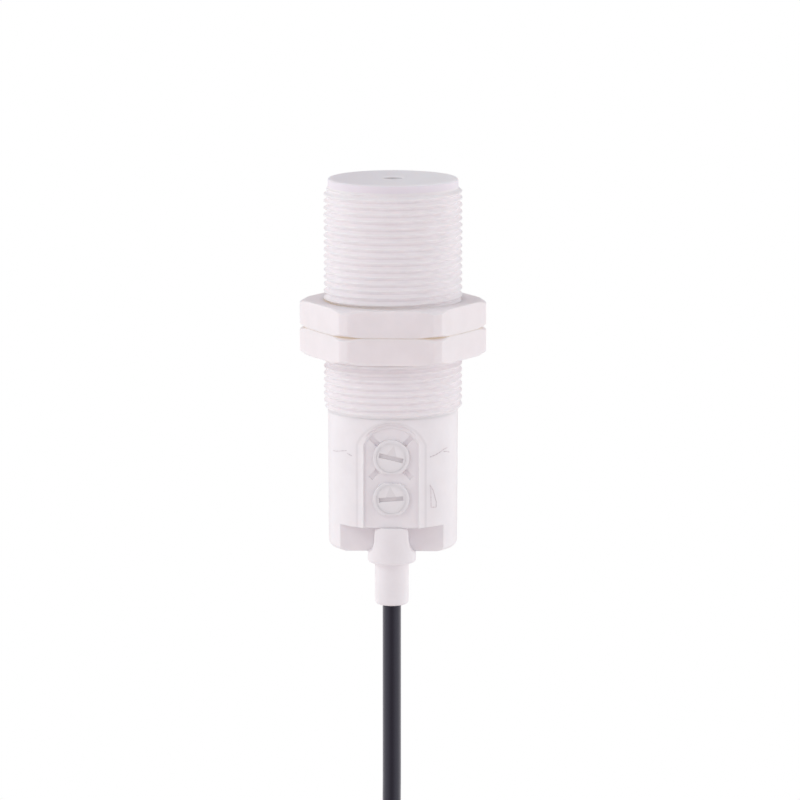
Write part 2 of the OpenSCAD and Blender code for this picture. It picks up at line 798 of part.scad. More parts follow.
// Moulded strain relief: keyed neck in the recess, collar and sleeve round the cable
module strain_relief() {
    sleeve_edge = 0.8;
    collar_edge = 0.45;
    collar_bottom = end_z - relief_collar_height;
    color("#eee9e8")
    difference() {
        union() {
            translate([0, -outlet_y, 0]) rotate_extrude() difference() {
                union() {
                    polygon([
                        [0, end_z], [relief_collar_r, end_z],
                        [relief_collar_r, collar_bottom + collar_edge],
                        [relief_collar_r - collar_edge, collar_bottom + collar_edge],
                        [relief_collar_r - collar_edge, collar_bottom], [relief_r, collar_bottom],
                        [relief_r, relief_bottom_z + sleeve_edge],
                        [relief_r - sleeve_edge, relief_bottom_z + sleeve_edge],
                        [relief_r - sleeve_edge, relief_bottom_z], [0, relief_bottom_z]
                    ]);
                    translate([relief_collar_r - collar_edge, collar_bottom + collar_edge])
                        circle(r = collar_edge);
                    translate([relief_r - sleeve_edge, relief_bottom_z + sleeve_edge])
                        circle(r = sleeve_edge);
                }
                translate([-1, relief_bottom_z - 1])
                    square([1, end_z - relief_bottom_z + 2]);
            }
            neck(0, neck_top_z - end_z);
        }
        translate([0, -outlet_y, relief_bottom_z - 1])
            cylinder(r = cable_r + running, h = 40);
        // Groove that the outlet clip slides into
        for (side = [-1, 1])
            translate([side > 0 ? neck_groove_x : -neck_groove_x - 3, back_wall_y - 0.2,
                       chamber_end_z])
                cube([3, 8, outlet_clip_thickness + loose]);
        translate([-relief_collar_r, neck_groove_y, chamber_end_z])
            cube([2 * relief_collar_r, 4, outlet_clip_thickness + loose]);
    }
}

// Forked plate that locks the strain relief from inside the chamber
module outlet_clip() {
    plate_half = 7;
    plate_back_y = neck_groove_y + 3.5;
    front_y = back_wall_y + loose;
    color("#c3c6c9")
    difference() {
        translate([-plate_half, front_y, chamber_end_z])
            cube([2 * plate_half, plate_back_y - front_y, outlet_clip_thickness]);
        translate([-neck_groove_x - running, front_y - 1, chamber_end_z - 1])
            cube([2 * neck_groove_x + 2 * running, neck_groove_y + running - front_y + 1,
                  outlet_clip_thickness + 2]);
    }
}

module inner_core_brown() {
    color("#6b4226") tube(inner_brown_route, inner_core_r, 8);
}

module inner_core_blue() {
    color("#1f4fa3") tube(mirrored(inner_brown_route), inner_core_r, 8);
}

module inner_core_black() {
    color("#1c1c1e") tube(inner_black_route, inner_core_r, 8);
}

module cable() {
    color("#2c2c33") tube(cable_route, cable_r, 12);
}

// Outer shape of the tied coil, upright below the sensor
module cable_coil() {
    radial = coil_rows * coil_pitch / 2;
    axial = coil_columns * coil_pitch / 2;
    round_corner = 1.2;
    color("#2c2c33")
    translate([0, -outlet_y, coil_z]) rotate([90, 0, 0]) rotate_extrude() polygon([
        [coil_r - radial + round_corner, -axial], [coil_r + radial - round_corner, -axial],
        [coil_r + radial, -axial + round_corner], [coil_r + radial, axial - round_corner],
        [coil_r + radial - round_corner, axial], [coil_r - radial + round_corner, axial],
        [coil_r - radial, axial - round_corner], [coil_r - radial, -axial + round_corner]
    ]);
}

// Two bands round the bundle of turns, each with its lock
module coil_ties() {
    radial = coil_rows * coil_pitch / 2 + 0.15;
    axial = coil_columns * coil_pitch / 2 + 0.15;
    t = tie_thickness;
    lock = [4.6, tie_width + 0.8, 3];
    color("#e6e6e2")
    for (a = [-35, 145])
        translate([0, -outlet_y, coil_z]) rotate([0, a, 0])
            translate([-tie_width / 2, 0, coil_r]) {
                difference() {
                    translate([0, -axial - t, -radial - t])
                        cube([tie_width, 2 * axial + 2 * t, 2 * radial + 2 * t]);
                    translate([-1, -axial, -radial])
                        cube([tie_width + 2, 2 * axial, 2 * radial]);
                }
                translate([-0.4, -lock.x / 2, -radial - t - lock.z])
                    cube([lock.y, lock.x, lock.z + eps]);
            }
}

module cable_tail() {
    color("#2c2c33")
    translate([tail_x, tail_y, tail_end_z]) cylinder(r = cable_r, h = tail_length);
}

module core_brown() {
    color("#6b4226") tube(moved(brown_route, [tail_x, tail_y, tail_end_z]), core_r, 8);
}

module core_blue() {
    color("#1f4fa3") tube(moved(blue_route, [tail_x, tail_y, tail_end_z]), core_r, 8);
}

module core_black() {
    color("#1c1c1e") tube(moved(black_route, [tail_x, tail_y, tail_end_z]), core_r, 8);
}

// Bared and tinned conductor ends of the three cores
module tinned_ends() {
    color("#c9ccd0")
    for (route = [brown_route, blue_route, black_route])
        let(last = route[len(route) - 1], way = heading(route, len(route) - 1))
            tube(moved([last, last + tinned_length / 2 * way, last + tinned_length * way],
                       [tail_x, tail_y, tail_end_z]), tinned_r, 8);
}

threaded_barrel();
rear_housing();
front_nut();
rear_nut();
barrel_seal();
selector_knob();
selector_seal();
selector_clip();
selector_switch();
selector_rotor();
sensitivity_knob();
sensitivity_seal();
sensitivity_clip();
sensitivity_trimmer();
trimmer_rotor();
sensing_electrode();
guard_ring();
electrode_carrier();
shield_can();
electrode_lead();
front_potting();
main_board();
oscillator_chip();
voltage_regulator();
output_driver();
smoothing_capacitor();
surge_suppressor();
chip_resistors();
strain_relief();
outlet_clip();
inner_core_brown();
inner_core_blue();
inner_core_black();
cable();
cable_coil();
coil_ties();
cable_tail();
core_brown();
core_blue();
core_black();
tinned_ends();
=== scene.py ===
"""Capacitive proximity sensor: the surfaces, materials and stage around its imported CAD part."""

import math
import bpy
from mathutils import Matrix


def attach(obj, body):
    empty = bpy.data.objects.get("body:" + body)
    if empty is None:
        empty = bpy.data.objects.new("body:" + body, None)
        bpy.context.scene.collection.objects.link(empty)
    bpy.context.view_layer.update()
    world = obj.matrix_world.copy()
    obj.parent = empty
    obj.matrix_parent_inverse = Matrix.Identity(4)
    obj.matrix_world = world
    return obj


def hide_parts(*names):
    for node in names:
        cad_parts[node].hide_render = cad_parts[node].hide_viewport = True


bl_info = {
    "name": "Proximity sensor looks",
    "version": (1, 0, 0),
    "blender": (4, 5, 0),
    "location": "3D View > Sidebar > Sensor",
    "description": "Builds the barrel, nuts, housing, adjusters, cable and stage of a proximity sensor",
    "category": "Add Mesh",
}

import bmesh
import bpy
import numpy as np
from bpy.props import FloatProperty, FloatVectorProperty, PointerProperty

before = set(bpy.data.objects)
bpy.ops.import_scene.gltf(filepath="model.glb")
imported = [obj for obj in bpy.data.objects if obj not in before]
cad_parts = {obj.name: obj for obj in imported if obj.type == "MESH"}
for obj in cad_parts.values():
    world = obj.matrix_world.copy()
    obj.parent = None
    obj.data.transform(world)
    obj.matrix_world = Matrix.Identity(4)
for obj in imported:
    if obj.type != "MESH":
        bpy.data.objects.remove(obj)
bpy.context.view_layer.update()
MM = 0.001

# Heights, places and radii of the CAD part, in millimetres, as its source gives them
FACE_Z = 26.4
JOINT_Z = -24.1
END_Z = -53.85
RECESS_Z = -48.0
RECESS_FLAT_Y = -8.4
OUTLET_Y = -8.0
NUT_HEIGHT = 5.9
SELECTOR_Z = -32.6
SENSITIVITY_Z = -41.6
HEAD_Y = -13.2
MARK_FLOOR_Y = -12.1
PAD_HALF = 7.4
ARCH_RADIUS = 7.85
WALL_TOP_RADIUS = 14.1
WALL_DRAFT = 0.15
# Radius of the barrel where its thread runs out at the joint
JOINT_RADIUS = 14.2
# Depth of the gate's dimple in the sensing face, and height of the plain collar below the face
GATE_DEPTH = 0.7
COLLAR_HEIGHT = 1.7
# Share of a turn by which the helix starts after the frame's X axis
THREAD_PHASE = 0.7
# Depth of the plastics' fine grain, and radius that softens the housing's edges, in metres
GRAIN_DEPTH = 0.00002
HOUSING_ROUNDING = 0.00025

# The cable's way from its inner end to the coil, in millimetres
CABLE_ROUTE = [
    (0, -8, -46.6), (0, -8, -60), (0, -8, -72), (0, -8, -84), (0, -8, -94), (0, -8, -104), (0, -8, -112),
    (0.5, -8.2, -116.8), (2.1, -8.9, -121.4), (4.3, -9.8, -125.7), (7.1, -10.8, -129.5),
    (10.3, -11.8, -133.2), (13.6, -12.7, -136.6), (17, -13.5, -140.1), (20.3, -14.1, -143.6),
    (23.6, -14.3, -147.2),
]
COIL_Z = -167.0
# Where the coil starts and how far it goes past its last full turn, in degrees
COIL_START = 50.0
COIL_END_TURN = 40.0

# Two tones of each core, and its way from the jacket's end, in millimetres
CORES = {
    "brown": ((0.16, 0.07, 0.035), (0.19, 0.085, 0.04),
              [(-0.9, -0.5, 0), (-1, -0.5, -4), (-2, -0.6, -11), (-4.2, -0.8, -19), (-7, -1, -27)]),
    "blue": ((0.02, 0.07, 0.3), (0.025, 0.09, 0.36),
             [(0.9, -0.5, 0), (1, -0.5, -4), (1.8, -0.7, -11), (3.6, -1.1, -19), (5.6, -1.5, -28)]),
    "black": ((0.012, 0.012, 0.014), (0.02, 0.02, 0.022),
              [(0, 0.9, 0), (0, 1, -4), (-0.2, 1.2, -11), (-0.8, 1.4, -19), (-1.4, 1.6, -29)]),
}

# Printed signs: points by angle from the front in degrees and by height, then the line's width
SIGNS = [
    ([(-65.7, -32.3), (-59.0, -32.2), (-53.4, -31.95), (-43.5, -31.5)], 0.17),
    ([(-43.0, -32.05), (-39.2, -32.35), (-37.1, -32.5)], 0.2),
    ([(36.3, -32.6), (39.5, -32.45), (42.5, -32.3), (47.5, -31.9), (52.2, -31.45), (58.2, -31.2)], 0.24),
    ([(52.6, -31.9), (58.2, -32.05), (61.5, -32.35)], 0.2),
    ([(36.3, -38.7), (37.3, -39.6), (37.7, -43.65)], 0.19),
    ([(37.7, -43.65), (43.5, -43.8)], 0.17),
    ([(43.5, -43.8), (43.5, -42.6), (42.1, -41.7), (39.9, -40.0), (36.3, -38.7)], 0.2),
]

# Finishes of the inner pieces: two tones, noise scale, roughness and metal, then the nodes
INNER_FINISHES = {
    "seal_rubber": ((0.02, 0.02, 0.021), (0.03, 0.03, 0.031), 2500.0, 0.6, 0.0,
                    ("barrel_seal", "selector_seal", "sensitivity_seal")),
    "spring_steel": ((0.5, 0.51, 0.53), (0.6, 0.61, 0.62), 4000.0, 0.3, 1.0,
                     ("selector_clip", "sensitivity_clip", "outlet_clip")),
    "blue_plastic": ((0.03, 0.12, 0.32), (0.035, 0.14, 0.37), 1500.0, 0.42, 0.0,
                     ("selector_switch", "sensitivity_trimmer")),
    "rotor_plastic": ((0.72, 0.68, 0.5), (0.78, 0.74, 0.57), 1500.0, 0.45, 0.0,
                      ("selector_rotor", "trimmer_rotor")),
    "copper_foil": ((0.72, 0.36, 0.2), (0.8, 0.44, 0.26), 2500.0, 0.32, 1.0,
                    ("sensing_electrode", "guard_ring")),
    "screen_metal": ((0.55, 0.42, 0.22), (0.63, 0.5, 0.28), 2000.0, 0.3, 1.0, ("shield_can",)),
    "tinned_lead": ((0.6, 0.61, 0.63), (0.7, 0.71, 0.73), 3000.0, 0.32, 1.0, ("electrode_lead",)),
    "resin": ((0.05, 0.045, 0.042), (0.065, 0.06, 0.055), 500.0, 0.3, 0.0, ("front_potting",)),
    "chip_plastic": ((0.016, 0.016, 0.018), (0.026, 0.026, 0.028), 3500.0, 0.55, 0.0,
                     ("oscillator_chip", "voltage_regulator", "output_driver", "surge_suppressor",
                      "chip_resistors")),
    "can_metal": ((0.62, 0.63, 0.64), (0.7, 0.71, 0.72), 2500.0, 0.35, 0.9, ("smoothing_capacitor",)),
}


def size(name, default, description):
    """A length of the sensor as a property, in metres."""
    return FloatProperty(
        name=name, description=description, default=default, min=0.0, unit="LENGTH", precision=5
    )


def colour(name, default, description):
    """A linear colour of the sensor as a property."""
    return FloatVectorProperty(
        name=name, description=description, default=default, size=3, subtype="COLOR", min=0.0, max=1.0
    )


class SensorSizes(bpy.types.PropertyGroup):
    """Sizes of the surfaces that stand for the CAD pieces."""

    thread_radius: size("Thread radius", 0.015, "Radius over the thread's crests")
    root_radius: size("Root radius", 0.01408, "Radius at the bottom of the thread")
    pitch: size("Pitch", 0.0015, "Distance from one thread to the next")
    collar_radius: size("Collar radius", 0.0141, "Radius of the plain collar at the face")
    bore_radius: size("Bore radius", 0.0126, "Radius inside the barrel")
    nut_flats: size("Nut flats", 0.036, "Width across the flats of a nut")
    nut_corner: size("Nut corner", 0.02018, "Radius of the turned corners of a nut")
    cable_diameter: size("Cable diameter", 0.004, "Diameter of the cable's jacket")
    coil_radius: size("Coil radius", 0.0266, "Middle radius of the wound cable")
    coil_pitch: size("Coil pitch", 0.0042, "Distance between the turns of the wound cable")
    tail_length: size("Tail length", 0.045, "Length of the cable below the coil's middle")
    core_diameter: size("Core diameter", 0.0012, "Diameter of one insulated core")
    strand_diameter: size("Strand diameter", 0.0007, "Diameter of a bared conductor")


class SensorColours(bpy.types.PropertyGroup):
    """Base colours of the sensor's materials."""

    barrel: colour("Barrel", (0.87, 0.83, 0.85), "Plastic of the threaded barrel")
    nut: colour("Nuts", (0.875, 0.82, 0.84), "Plastic of the two nuts")
    housing: colour("Housing", (0.88, 0.84, 0.865), "Plastic of the rear housing")
    adjuster: colour("Adjusters", (0.88, 0.84, 0.86), "Plastic of the adjusters")
    relief: colour("Strain relief", (0.88, 0.84, 0.865), "Plastic of the strain relief")
    jacket: colour("Jacket", (0.002, 0.002, 0.006), "Jacket of the cable")
    sign: colour("Signs", (0.6, 0.54, 0.57), "Printed signs beside the adjusters")
    # colour of the painted shade and glow in the narrow gaps between the nuts
    glow: colour("Crevice tint", (0.75, 0.65, 0.5), "Tint of the light that comes out of narrow gaps")


# Surfaces


def linked(name, mesh):
    """A new object of the scene with a mesh in it."""
    obj = bpy.data.objects.new(name, mesh)
    bpy.context.scene.collection.objects.link(obj)
    return obj


def vertices(obj):
    """The vertices of a piece as rows of x, y and z in millimetres."""
    points = np.empty(3 * len(obj.data.vertices))
    obj.data.vertices.foreach_get("co", points)
    return points.reshape(-1, 3) / MM


def move_vertices(obj, points):
    """Puts the vertices of a piece at the given points in millimetres."""
    obj.data.vertices.foreach_set("co", (points * MM).ravel())
    obj.data.update()


def surface(name, points, wrap_rows=False, poles=(False, False), smooth=True):
    """Mesh over a grid of points in millimetres, whose columns close into a ring. The rows close too
    where asked, and a first or last row that is a pole becomes one vertex."""
    rows, columns = points.shape[:2]
    index = np.arange(rows * columns).reshape(rows, columns)
    for row, pole in zip((0, -1), poles):
        if pole:
            index[row, :] = index[row, 0]
    below = np.roll(index, -1, axis=0) if wrap_rows else index[1:]
    above = index if wrap_rows else index[:-1]
    quads = np.stack([above, below, np.roll(below, -1, axis=1), np.roll(above, -1, axis=1)], axis=-1)
    used, packed = np.unique(quads.reshape(-1, 4), return_inverse=True)
    quads = packed.reshape(-1, 4)
    top = quads[:, 0] == quads[:, 3]
    bottom = quads[:, 1] == quads[:, 2]
    faces = quads[~(top | bottom)].tolist()
    faces += quads[top][:, :3].tolist()
    faces += quads[bottom][:, [0, 1, 3]].tolist()
    mesh = bpy.data.meshes.new(name)
    mesh.from_pydata((points.reshape(-1, 3)[used] * MM).tolist(), [], faces)
    mesh.update()
    mesh.polygons.foreach_set("use_smooth", np.full(len(mesh.polygons), smooth))
    return linked(name, mesh)


def revolved(profile, angle, y=0.0):
    """Points of a profile carried round a vertical line: x = r cos a, y = r sin a + y0, z = h. The
    rows (r, h) of the profile hold numbers, or arrays where they change with the angle."""
    radius = np.array([r + 0 * angle for r, h in profile])
    height = np.array([h + 0 * angle for r, h in profile])
    return np.stack([radius * np.cos(angle), radius * np.sin(angle) + y, height], axis=-1)


def arc(centre_r, centre_z, radius, start, end, steps):
    """Rows (r, z) along a part of a circle, from one angle to another in degrees."""
    t = np.radians(np.linspace(start, end, steps))
    return [(centre_r + radius * math.cos(x), centre_z + radius * math.sin(x)) for x in t]


def full_turn(columns):
    """Angles of a full turn in even steps."""
    return np.arange(columns) * 2 * math.pi / columns


def eased(share):
    """Smooth step of a share between 0 and 1: 3 s^2 - 2 s^3."""
    return share * share * (3.0 - 2.0 * share)


def tooth(phase):
    """Height of a rounded V thread between 0 at the root and 1 at the crest, for a phase in turns."""
    root_flat = 0.14
    crest_flat = 0.12
    softness = 0.4
    away = np.abs(2.0 * (phase % 1.0) - 1.0)
    rise = np.clip((1.0 - root_flat - away) / (1.0 - root_flat - crest_flat), 0.0, 1.0)
    return (1.0 - softness) * rise + softness * eased(rise)


def helix(sizes, z, angle, over=0.0):
    """Radius of the thread: root + (crest - root) tooth(z / pitch - a / turn + phase). The crest
    stands over its given radius by a length."""
    root = sizes.root_radius / MM
    crest = sizes.thread_radius / MM + over
    return root + (crest - root) * tooth(z / (sizes.pitch / MM) - angle / (2 * math.pi) + THREAD_PHASE)


def frames(path):
    """Two directions square to a path at each of its points, turned as little as possible."""
    ahead = np.gradient(path, axis=0)
    ahead /= np.linalg.norm(ahead, axis=1)[:, None]
    side = np.zeros_like(path)
    guess = np.cross(ahead[0], (1.0, 0.02, 0.01))
    for i, t in enumerate(ahead):
        guess = guess - t * np.dot(guess, t)
        guess = guess / np.linalg.norm(guess)
        side[i] = guess
    return side, np.cross(ahead, side)


def tube(name, path, radius, sides):
    """Tube round a path in millimetres: p + r (cos a u + sin a v), with rounded and closed ends."""
    # How far each ring of an end reaches out and stands back, as shares of the radius
    caps = ((0.0, 0.0), (0.6, 0.0), (0.93, 0.03))
    shoulder = 0.12
    side, over = frames(path)
    angle = -full_turn(sides)[:, None]
    ring = np.cos(angle) * side[:, None, :] + np.sin(angle) * over[:, None, :]
    body = path[:, None, :] + radius * ring
    ends = []
    for at, inward in ((0, path[1] - path[0]), (-1, path[-2] - path[-1])):
        inward = inward / np.linalg.norm(inward)
        ends.append([path[at] + radius * (ring[at] * share + inward * back) for share, back in caps])
        body[at] += inward * radius * shoulder
    return surface(name, np.concatenate([ends[0], body, ends[1][::-1]]), poles=(True, True))


def resampled(points, step):
    """Points along a smooth line through the given ones, at even steps. The line is a spline whose
    tangent at each point is half the way between its neighbours."""
    p = np.array(points, float)
    m = np.gradient(p, axis=0)
    out = []
    for i in range(len(p) - 1):
        n = max(2, int(np.linalg.norm(p[i + 1] - p[i]) / step) + 1)
        t = np.linspace(0.0, 1.0, n, endpoint=False)[:, None]
        straight = p[i] + eased(t) * (p[i + 1] - p[i])
        out.append(straight + t * (t - 1) ** 2 * m[i] + t**2 * (t - 1) * m[i + 1])
    out.append(p[-1:])
    return np.concatenate(out)


def joined(pieces, name):
    """Some pieces made one, under a name."""
    with bpy.context.temp_override(active_object=pieces[0], selected_editable_objects=pieces):
        bpy.ops.object.join()
    pieces[0].name = name
    return pieces[0]


def finished(work, mesh):
    """Writes a mesh under work with its faces outward and its edges of 28 degrees or more sharp."""
    bmesh.ops.recalc_face_normals(work, faces=work.faces)
    for face in work.faces:
        face.smooth = True
    for edge in work.edges:
        edge.smooth = edge.is_manifold and edge.calc_face_angle(0.0) < math.radians(28)
    work.to_mesh(mesh)
    work.free()


def copied(node, name):
    """Copy of a CAD node's mesh with its loose triangles merged and its edges kept sharp."""
    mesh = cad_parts[node].data.copy()
    mesh.name = name
    work = bmesh.new()
    work.from_mesh(mesh)
    bmesh.ops.remove_doubles(work, verts=work.verts, dist=2e-6)
    finished(work, mesh)
    mesh.materials.clear()
    return linked(name, mesh)


# Materials


class Nodes:
    """The node tree of a material or of the world, with short ways to add and join its nodes."""

    def __init__(self, owner, output, coordinate):
        owner.use_nodes = True
        self.tree = owner.node_tree
        self.tree.nodes.clear()
        self.out = self.add(output)
        self.place = self.add("ShaderNodeTexCoord").outputs[coordinate]

    def add(self, kind, inputs=None, **settings):
        """A new node with its settings, and its inputs by name or number."""
        node = self.tree.nodes.new(kind)
        for key, value in settings.items():
            setattr(node, key, value)
        for key, value in (inputs or {}).items():
            self.join(value, node.inputs[key])
        return node

    def join(self, source, target):
        """A link, or the number or colour itself where the source isn't a socket."""
        if isinstance(source, bpy.types.NodeSocket):
            self.tree.links.new(source, target)
        elif target.type == "RGBA":
            target.default_value = (*source, 1.0)
        else:
            target.default_value = source

    def math(self, operation, a, b=0.0):
        """The result of one sum on two values."""
        return self.add("ShaderNodeMath", {0: a, 1: b}, operation=operation).outputs[0]

    def times(self, a, b):
        """The product of two values."""
        return self.math("MULTIPLY", a, b)

    def plus(self, a, b):
        """The sum of two values."""
        return self.math("ADD", a, b)

    def minus(self, a, b):
        """The first value less the second."""
        return self.math("SUBTRACT", a, b)

    def unsigned(self, a):
        """A value without its sign."""
        return self.math("ABSOLUTE", a)

    def reach(self, across, along):
        """Distance from an axis, from the two lengths square to it."""
        return self.math("SQRT", self.plus(self.times(across, across), self.times(along, along)))

    def span(self, value, low, high, to_low, to_high):
        """A value carried smoothly from one range to another."""
        inputs = {"Value": value, "From Min": low, "From Max": high, "To Min": to_low, "To Max": to_high}
        return self.add("ShaderNodeMapRange", inputs, interpolation_type="SMOOTHSTEP").outputs["Result"]

    def mix(self, share, a, b):
        """Two colours blended by a share."""
        inputs = {"Factor": share, "A": a, "B": b}
        return self.add("ShaderNodeMix", inputs, data_type="RGBA").outputs["Result"]

    def axes(self, names):
        """The named ones of the coordinates x, y and z."""
        node = self.add("ShaderNodeSeparateXYZ", {0: self.place})
        return [node.outputs[name] for name in names]


class Shader(Nodes):
    """A material under construction, on the object's own coordinates in metres."""

    def __init__(self, name):
        self.material = bpy.data.materials.new(name)
        super().__init__(self.material, "ShaderNodeOutputMaterial", "Object")
        self.body = self.add("ShaderNodeBsdfPrincipled")
        self.join(self.body.outputs[0], self.out.inputs["Surface"])

    def give(self, name, value):
        """Sets or joins one input of the surface."""
        self.join(value, self.body.inputs[name])

    def noise(self, scale, detail, rough):
        """Noise between 0 and 1 at a scale in cells to the metre."""
        inputs = {"Vector": self.place, "Scale": scale, "Detail": detail, "Roughness": rough}
        return self.add("ShaderNodeTexNoise", inputs).outputs["Fac"]

    def openness(self, distance):
        """How open the surroundings are within a distance in metres, from 0 to 1."""
        return self.add("ShaderNodeAmbientOcclusion", {"Distance": distance}, samples=8).outputs["AO"]

    def bump(self, height, distance, strength, rounding=0.0):
        """The surface normal under a height, over edges rounded by a radius in metres."""
        inputs = {"Strength": strength, "Distance": distance, "Height": height}
        node = self.add("ShaderNodeBump", inputs)
        if rounding > 0.0:
            self.edge = self.add("ShaderNodeBevel", {"Radius": rounding}, samples=6)
            self.join(self.edge.outputs[0], node.inputs["Normal"])
        self.give("Normal", node.outputs[0])

    def tinted(self, share, tint):
        """Blends the base colour so far with a tint by a share."""
        so_far = self.body.inputs["Base Color"].links[0].from_socket
        self.give("Base Color", self.mix(share, so_far, tint))


def shade(base, factor, green=None, blue=None):
    """A colour times a factor, or times one for each of its parts, and at most 1."""
    factors = (factor, green or factor, blue or factor)
    return tuple(min(1.0, c * f) for c, f in zip(base, factors))


def moulded(name, base, rough=0.42, rounding=0.0, glow=0.15):
    """White moulded plastic: faint flow marks in the colour, fine grain, light under the skin."""
    mottling = 0.015
    s = Shader(name)
    flow = s.noise(260.0, 4.0, 0.6)
    grain = s.noise(9000.0, 2.0, 0.5)
    marks = s.span(flow, 0.3, 0.7, 0.0, 1.0)
    s.give("Base Color", s.mix(marks, shade(base, 1.0 - mottling), shade(base, 1.0 + mottling)))
    s.give("Roughness", s.span(flow, 0.25, 0.75, rough - 0.04, rough + 0.05))
    s.give("IOR", 1.47)
    s.give("Specular IOR Level", 0.4)
    s.give("Subsurface Weight", glow)
    s.give("Subsurface Radius", (0.0016, 0.0014, 0.0013))
    s.give("Subsurface Scale", 1.0)
    s.bump(s.plus(s.times(grain, 0.5), flow), GRAIN_DEPTH, 0.25, rounding)
    return s


def plain(name, base, other, scale, rough=0.5, metal=0.0):
    """Any other finish: two tones mixed by noise, uneven gloss and a fine grain."""
    s = Shader(name)
    spots = s.noise(scale, 4.0, 0.6)
    fine = s.noise(scale * 9.0, 2.0, 0.5)
    s.give("Base Color", s.mix(s.span(spots, 0.35, 0.65, 0.0, 1.0), base, other))
    s.give("Roughness", s.span(fine, 0.2, 0.8, rough - 0.08, rough + 0.08))
    s.give("Metallic", metal)
    s.bump(s.plus(fine, spots), GRAIN_DEPTH, 0.4)
    return s.material


def finish_node(node, material):
    """The material in the slot of a CAD node's own object."""
    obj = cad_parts[node]
    if not obj.material_slots:
        obj.data.materials.append(material)
    for place in obj.material_slots:
        place.link = "OBJECT"
        place.material = material


def dress(obj, material, body, slot_name, *nodes):
    """A new piece gets its material and its body, and the CAD nodes that it stands for are hidden. The
    slot name is not used.
    """
    obj.data.materials.append(material)
    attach(obj, body)
    if nodes:
        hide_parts(*nodes)
    return obj


# Operators


class SENSOR_OT_camera(bpy.types.Operator):
    """Adds the camera that sees the sensor from the front and a little from above"""

    bl_idname = "sensor.camera"
    bl_label = "Camera"

    def execute(self, context):
        turn = math.radians(1.8)
        down = 0.16853
        distance = 1.038746
        height = 0.154588
        lens = bpy.data.cameras.new("camera")
        lens.sensor_width = 36.0
        lens.lens = 218.44
        lens.shift_x = 0.00875
        lens.clip_start = 0.01
        obj = linked("camera", lens)
        obj.location = (math.sin(turn) * distance, -math.cos(turn) * distance, height)
        obj.rotation_euler = (math.pi / 2 - down, 0.0, turn)
        context.scene.camera = obj
        return {"FINISHED"}


